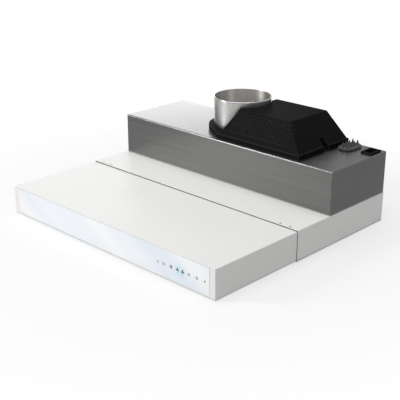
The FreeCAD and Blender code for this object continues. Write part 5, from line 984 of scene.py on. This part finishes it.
# %% The tree of the filter mesh
tree, given, output = new_tree("expanded_metal", {
    "Width": FLOAT, "Depth": FLOAT, "Columns": INTEGER, "Rows": INTEGER, "Strand": FLOAT,
    "Place": VECTOR})
grid = tree_node(tree, "GeometryNodeMeshGrid", Size_X=given["Width"], Size_Y=given["Depth"],
                 Vertices_X=given["Columns"], Vertices_Y=given["Rows"])
index = tree_node(tree, "GeometryNodeInputIndex").outputs[0]
row = tree_maths(tree, "FLOORED_MODULO", index, given["Rows"])
odd = tree_maths(tree, "FLOORED_MODULO", row, 2.0)
step = tree_maths(tree, "DIVIDE", given["Width"], given["Columns"])
lean = tree_maths(tree, "MULTIPLY", tree_maths(tree, "MULTIPLY", odd, step), 0.5)
offset = tree_node(tree, "ShaderNodeCombineXYZ", X=lean)
moved = tree_node(tree, "GeometryNodeSetPosition", Geometry=grid.outputs["Mesh"],
                  Offset=offset.outputs[0])
placed = tree_node(tree, "GeometryNodeTransform", Geometry=moved.outputs["Geometry"],
                   Translation=given["Place"])
lines = tree_node(tree, "GeometryNodeMeshToCurve", Mesh=placed.outputs["Geometry"])
strand = tree_node(tree, "GeometryNodeCurvePrimitiveCircle", Resolution=4,
                   Radius=given["Strand"])
swept = tree_node(tree, "GeometryNodeCurveToMesh", Curve=lines.outputs["Curve"],
                  Profile_Curve=strand.outputs["Curve"])
end_tree(tree, swept.outputs["Mesh"], output, FINISHES["mesh_aluminium"])
print("mesh tree has", len(tree.nodes), "nodes")

# %% Its two layers
mesh_low, mesh_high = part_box("filter_mesh")
SIDE_ROOM, END_ROOM, STRAND = 6 * MM, 2 * MM, 0.5 * MM
size = {"Width": mesh_high[0] - mesh_low[0] - SIDE_ROOM,
        "Depth": mesh_high[1] - mesh_low[1] - END_ROOM, "Strand": STRAND}
for label, height, columns, rows in (("outer", mesh_low[2] + 1.0 * MM, 78, 46),
                                     ("inner", mesh_high[2] - 1.2 * MM, 64, 38)):
    layer = run_tree(tree, f"filter_mesh_{label}", "grease_filter", FINISHES["mesh_aluminium"],
                     {**size, "Columns": columns, "Rows": rows,
                      "Place": (*middle_of(mesh_low, mesh_high), height)})
    print(label, "layer:", len(layer.data.polygons), "faces")
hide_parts("filter_mesh")

# %% [markdown]
# ## The studio
# The hood stands on pale paper under soft light. White sheet keeps its shape only if the
# light has a direction, so one wide lamp stands in front on the left, a weak one hangs above,
# and the world fills the rest. A card at the back on the left lights nothing by itself: only
# the steel roof and the collar mirror it. The camera sees the world and the far paper pure
# white, and mirrors see them as a paler or darker grey, or the steel would burn out.

# %% World
world = bpy.data.worlds.new("studio")
bpy.context.scene.world = world
world.use_nodes = True
tree = world.node_tree
tree.nodes.clear()
path = tree.nodes.new("ShaderNodeLightPath").outputs
FILL_MATT, FILL_MIRRORED = 0.29, 0.68  # how bright the world is to matt faces and in mirrors
level = tree_node(tree, "ShaderNodeMapRange", Value=path["Is Glossy Ray"], To_Min=FILL_MATT,
                  To_Max=FILL_MIRRORED)
fill = tree_node(tree, "ShaderNodeBackground", Color=(0.97, 0.98, 1.0, 1.0),
                 Strength=level.outputs["Result"])
white = tree_node(tree, "ShaderNodeBackground", Color=(1.0, 1.0, 1.0, 1.0), Strength=1.0)
seen = tree_maths(tree, "MAXIMUM", path["Is Camera Ray"], path["Is Transmission Ray"])
choose = tree.nodes.new("ShaderNodeMixShader")
for socket, source in zip(choose.inputs, (seen, fill.outputs[0], white.outputs[0])):
    feed(tree, socket, source)
tree_node(tree, "ShaderNodeOutputWorld", Surface=choose.outputs[0])
print("world lit:", FILL_MATT, "for matt faces,", FILL_MIRRORED, "in mirrors")

# %% Floor
FLOOR_BELOW, FLOOR_HALF = 0.4 * MM, 6.0  # just under the hood, and half its width in metres


def floor_material():
    """Matt pale paper near the hood, fading to pure white; mirrors see it grey."""
    recipe = Recipe("pale_floor", Specular_IOR_Level=0.0)
    recipe.finish(colour(242, 242, 242), recipe.spread(recipe.noise(scale=60), 0.7, 0.8))
    path = recipe.add("ShaderNodeLightPath").outputs
    seen = recipe.spread(path["Is Camera Ray"], 0.66, 1.0)
    mirrored = recipe.spread(path["Is Glossy Ray"], 0.0, 0.06)
    glow = recipe.add("ShaderNodeEmission")
    recipe.feed(glow.inputs["Strength"], recipe.maths("SUBTRACT", seen, mirrored))
    far = recipe.spread(recipe.vector("LENGTH", recipe.place), 0.55, 1.0, 0.3, 0.75)
    paper = recipe.mix_shaders(far, recipe.shader.outputs["BSDF"], glow.outputs["Emission"])
    # from below the paper is clear, so that the underside can be looked at
    clear = recipe.add("ShaderNodeBsdfTransparent").outputs["BSDF"]
    recipe.feed(recipe.surface, recipe.mix_shaders(recipe.geometry("Backfacing"), paper, clear))
    return recipe.material


bm = bmesh.new()
bmesh.ops.create_grid(bm, x_segments=8, y_segments=8, size=FLOOR_HALF)
for vert in bm.verts:
    vert.co.z = -FLOOR_BELOW
floor = piece_from(bm, "floor", floor_material())
# the paper's clear side is its back, so its faces have to look up
if floor.data.polygons[0].normal.z < 0:
    floor.data.flip_normals()
print("floor laid,", 2 * FLOOR_HALF, "m wide")


# %% Lamps
def softbox(name, place, aim, width, height, watts, diffuse=True):
    """A wide lamp that the camera doesn't see; without diffuse, only mirrors see it."""
    light = bpy.data.lights.new(name, "AREA")
    light.shape = "RECTANGLE"
    light.size, light.size_y, light.energy = width, height, watts
    lamp = bpy.data.objects.new(name, light)
    lamp.location = place
    lamp.rotation_euler = (Vector(aim) - Vector(place)).to_track_quat("-Z", "Y").to_euler()
    lamp.visible_camera = False
    lamp.visible_diffuse = diffuse
    bpy.context.scene.collection.objects.link(lamp)


softbox("key_softbox", (-3.5, -3.85, 2.0), (0.0, -0.05, 0.08), 1.35, 1.8, watts=178)
softbox("top_softbox", (0.1, -0.3, 2.4), (0.0, 0.0, 0.0), 2.4, 2.4, watts=36)
softbox("back_card", (-2.15, 1.75, 0.6), (-0.1, 0.15, 0.15), 1.5, 0.7, watts=14, diffuse=False)
print("lamps placed:", ", ".join(light.name for light in bpy.data.lights))

# %% [markdown]
# ## The camera
# The photo was taken from the right in front, 44 degrees round and 21 degrees up, with a
# long lens. The numbers come from solving the box's edges in the photo.

# %% Camera
AZIMUTH, ELEVATION, DISTANCE = math.radians(44.16), math.radians(21.23), 1.7442
TARGET = Vector((0.0678, -0.0585, 0.0723))
FOCAL_PIXELS, PICTURE_PIXELS, SENSOR = 855.9, 400, 36
camera_data = bpy.data.cameras.new("camera")
camera_data.lens = FOCAL_PIXELS / PICTURE_PIXELS * SENSOR
camera_data.sensor_width = SENSOR
camera = bpy.data.objects.new("camera", camera_data)
level_part = math.cos(ELEVATION)
away = Vector((math.sin(AZIMUTH) * level_part, -math.cos(AZIMUTH) * level_part,
               math.sin(ELEVATION)))
camera.location = TARGET + away * DISTANCE
camera.rotation_euler = (-away).to_track_quat("-Z", "Y").to_euler()
bpy.context.scene.collection.objects.link(camera)
bpy.context.scene.camera = camera
bpy.context.scene.view_settings.view_transform = "Standard"
print("camera", round(camera_data.lens, 1), "mm")
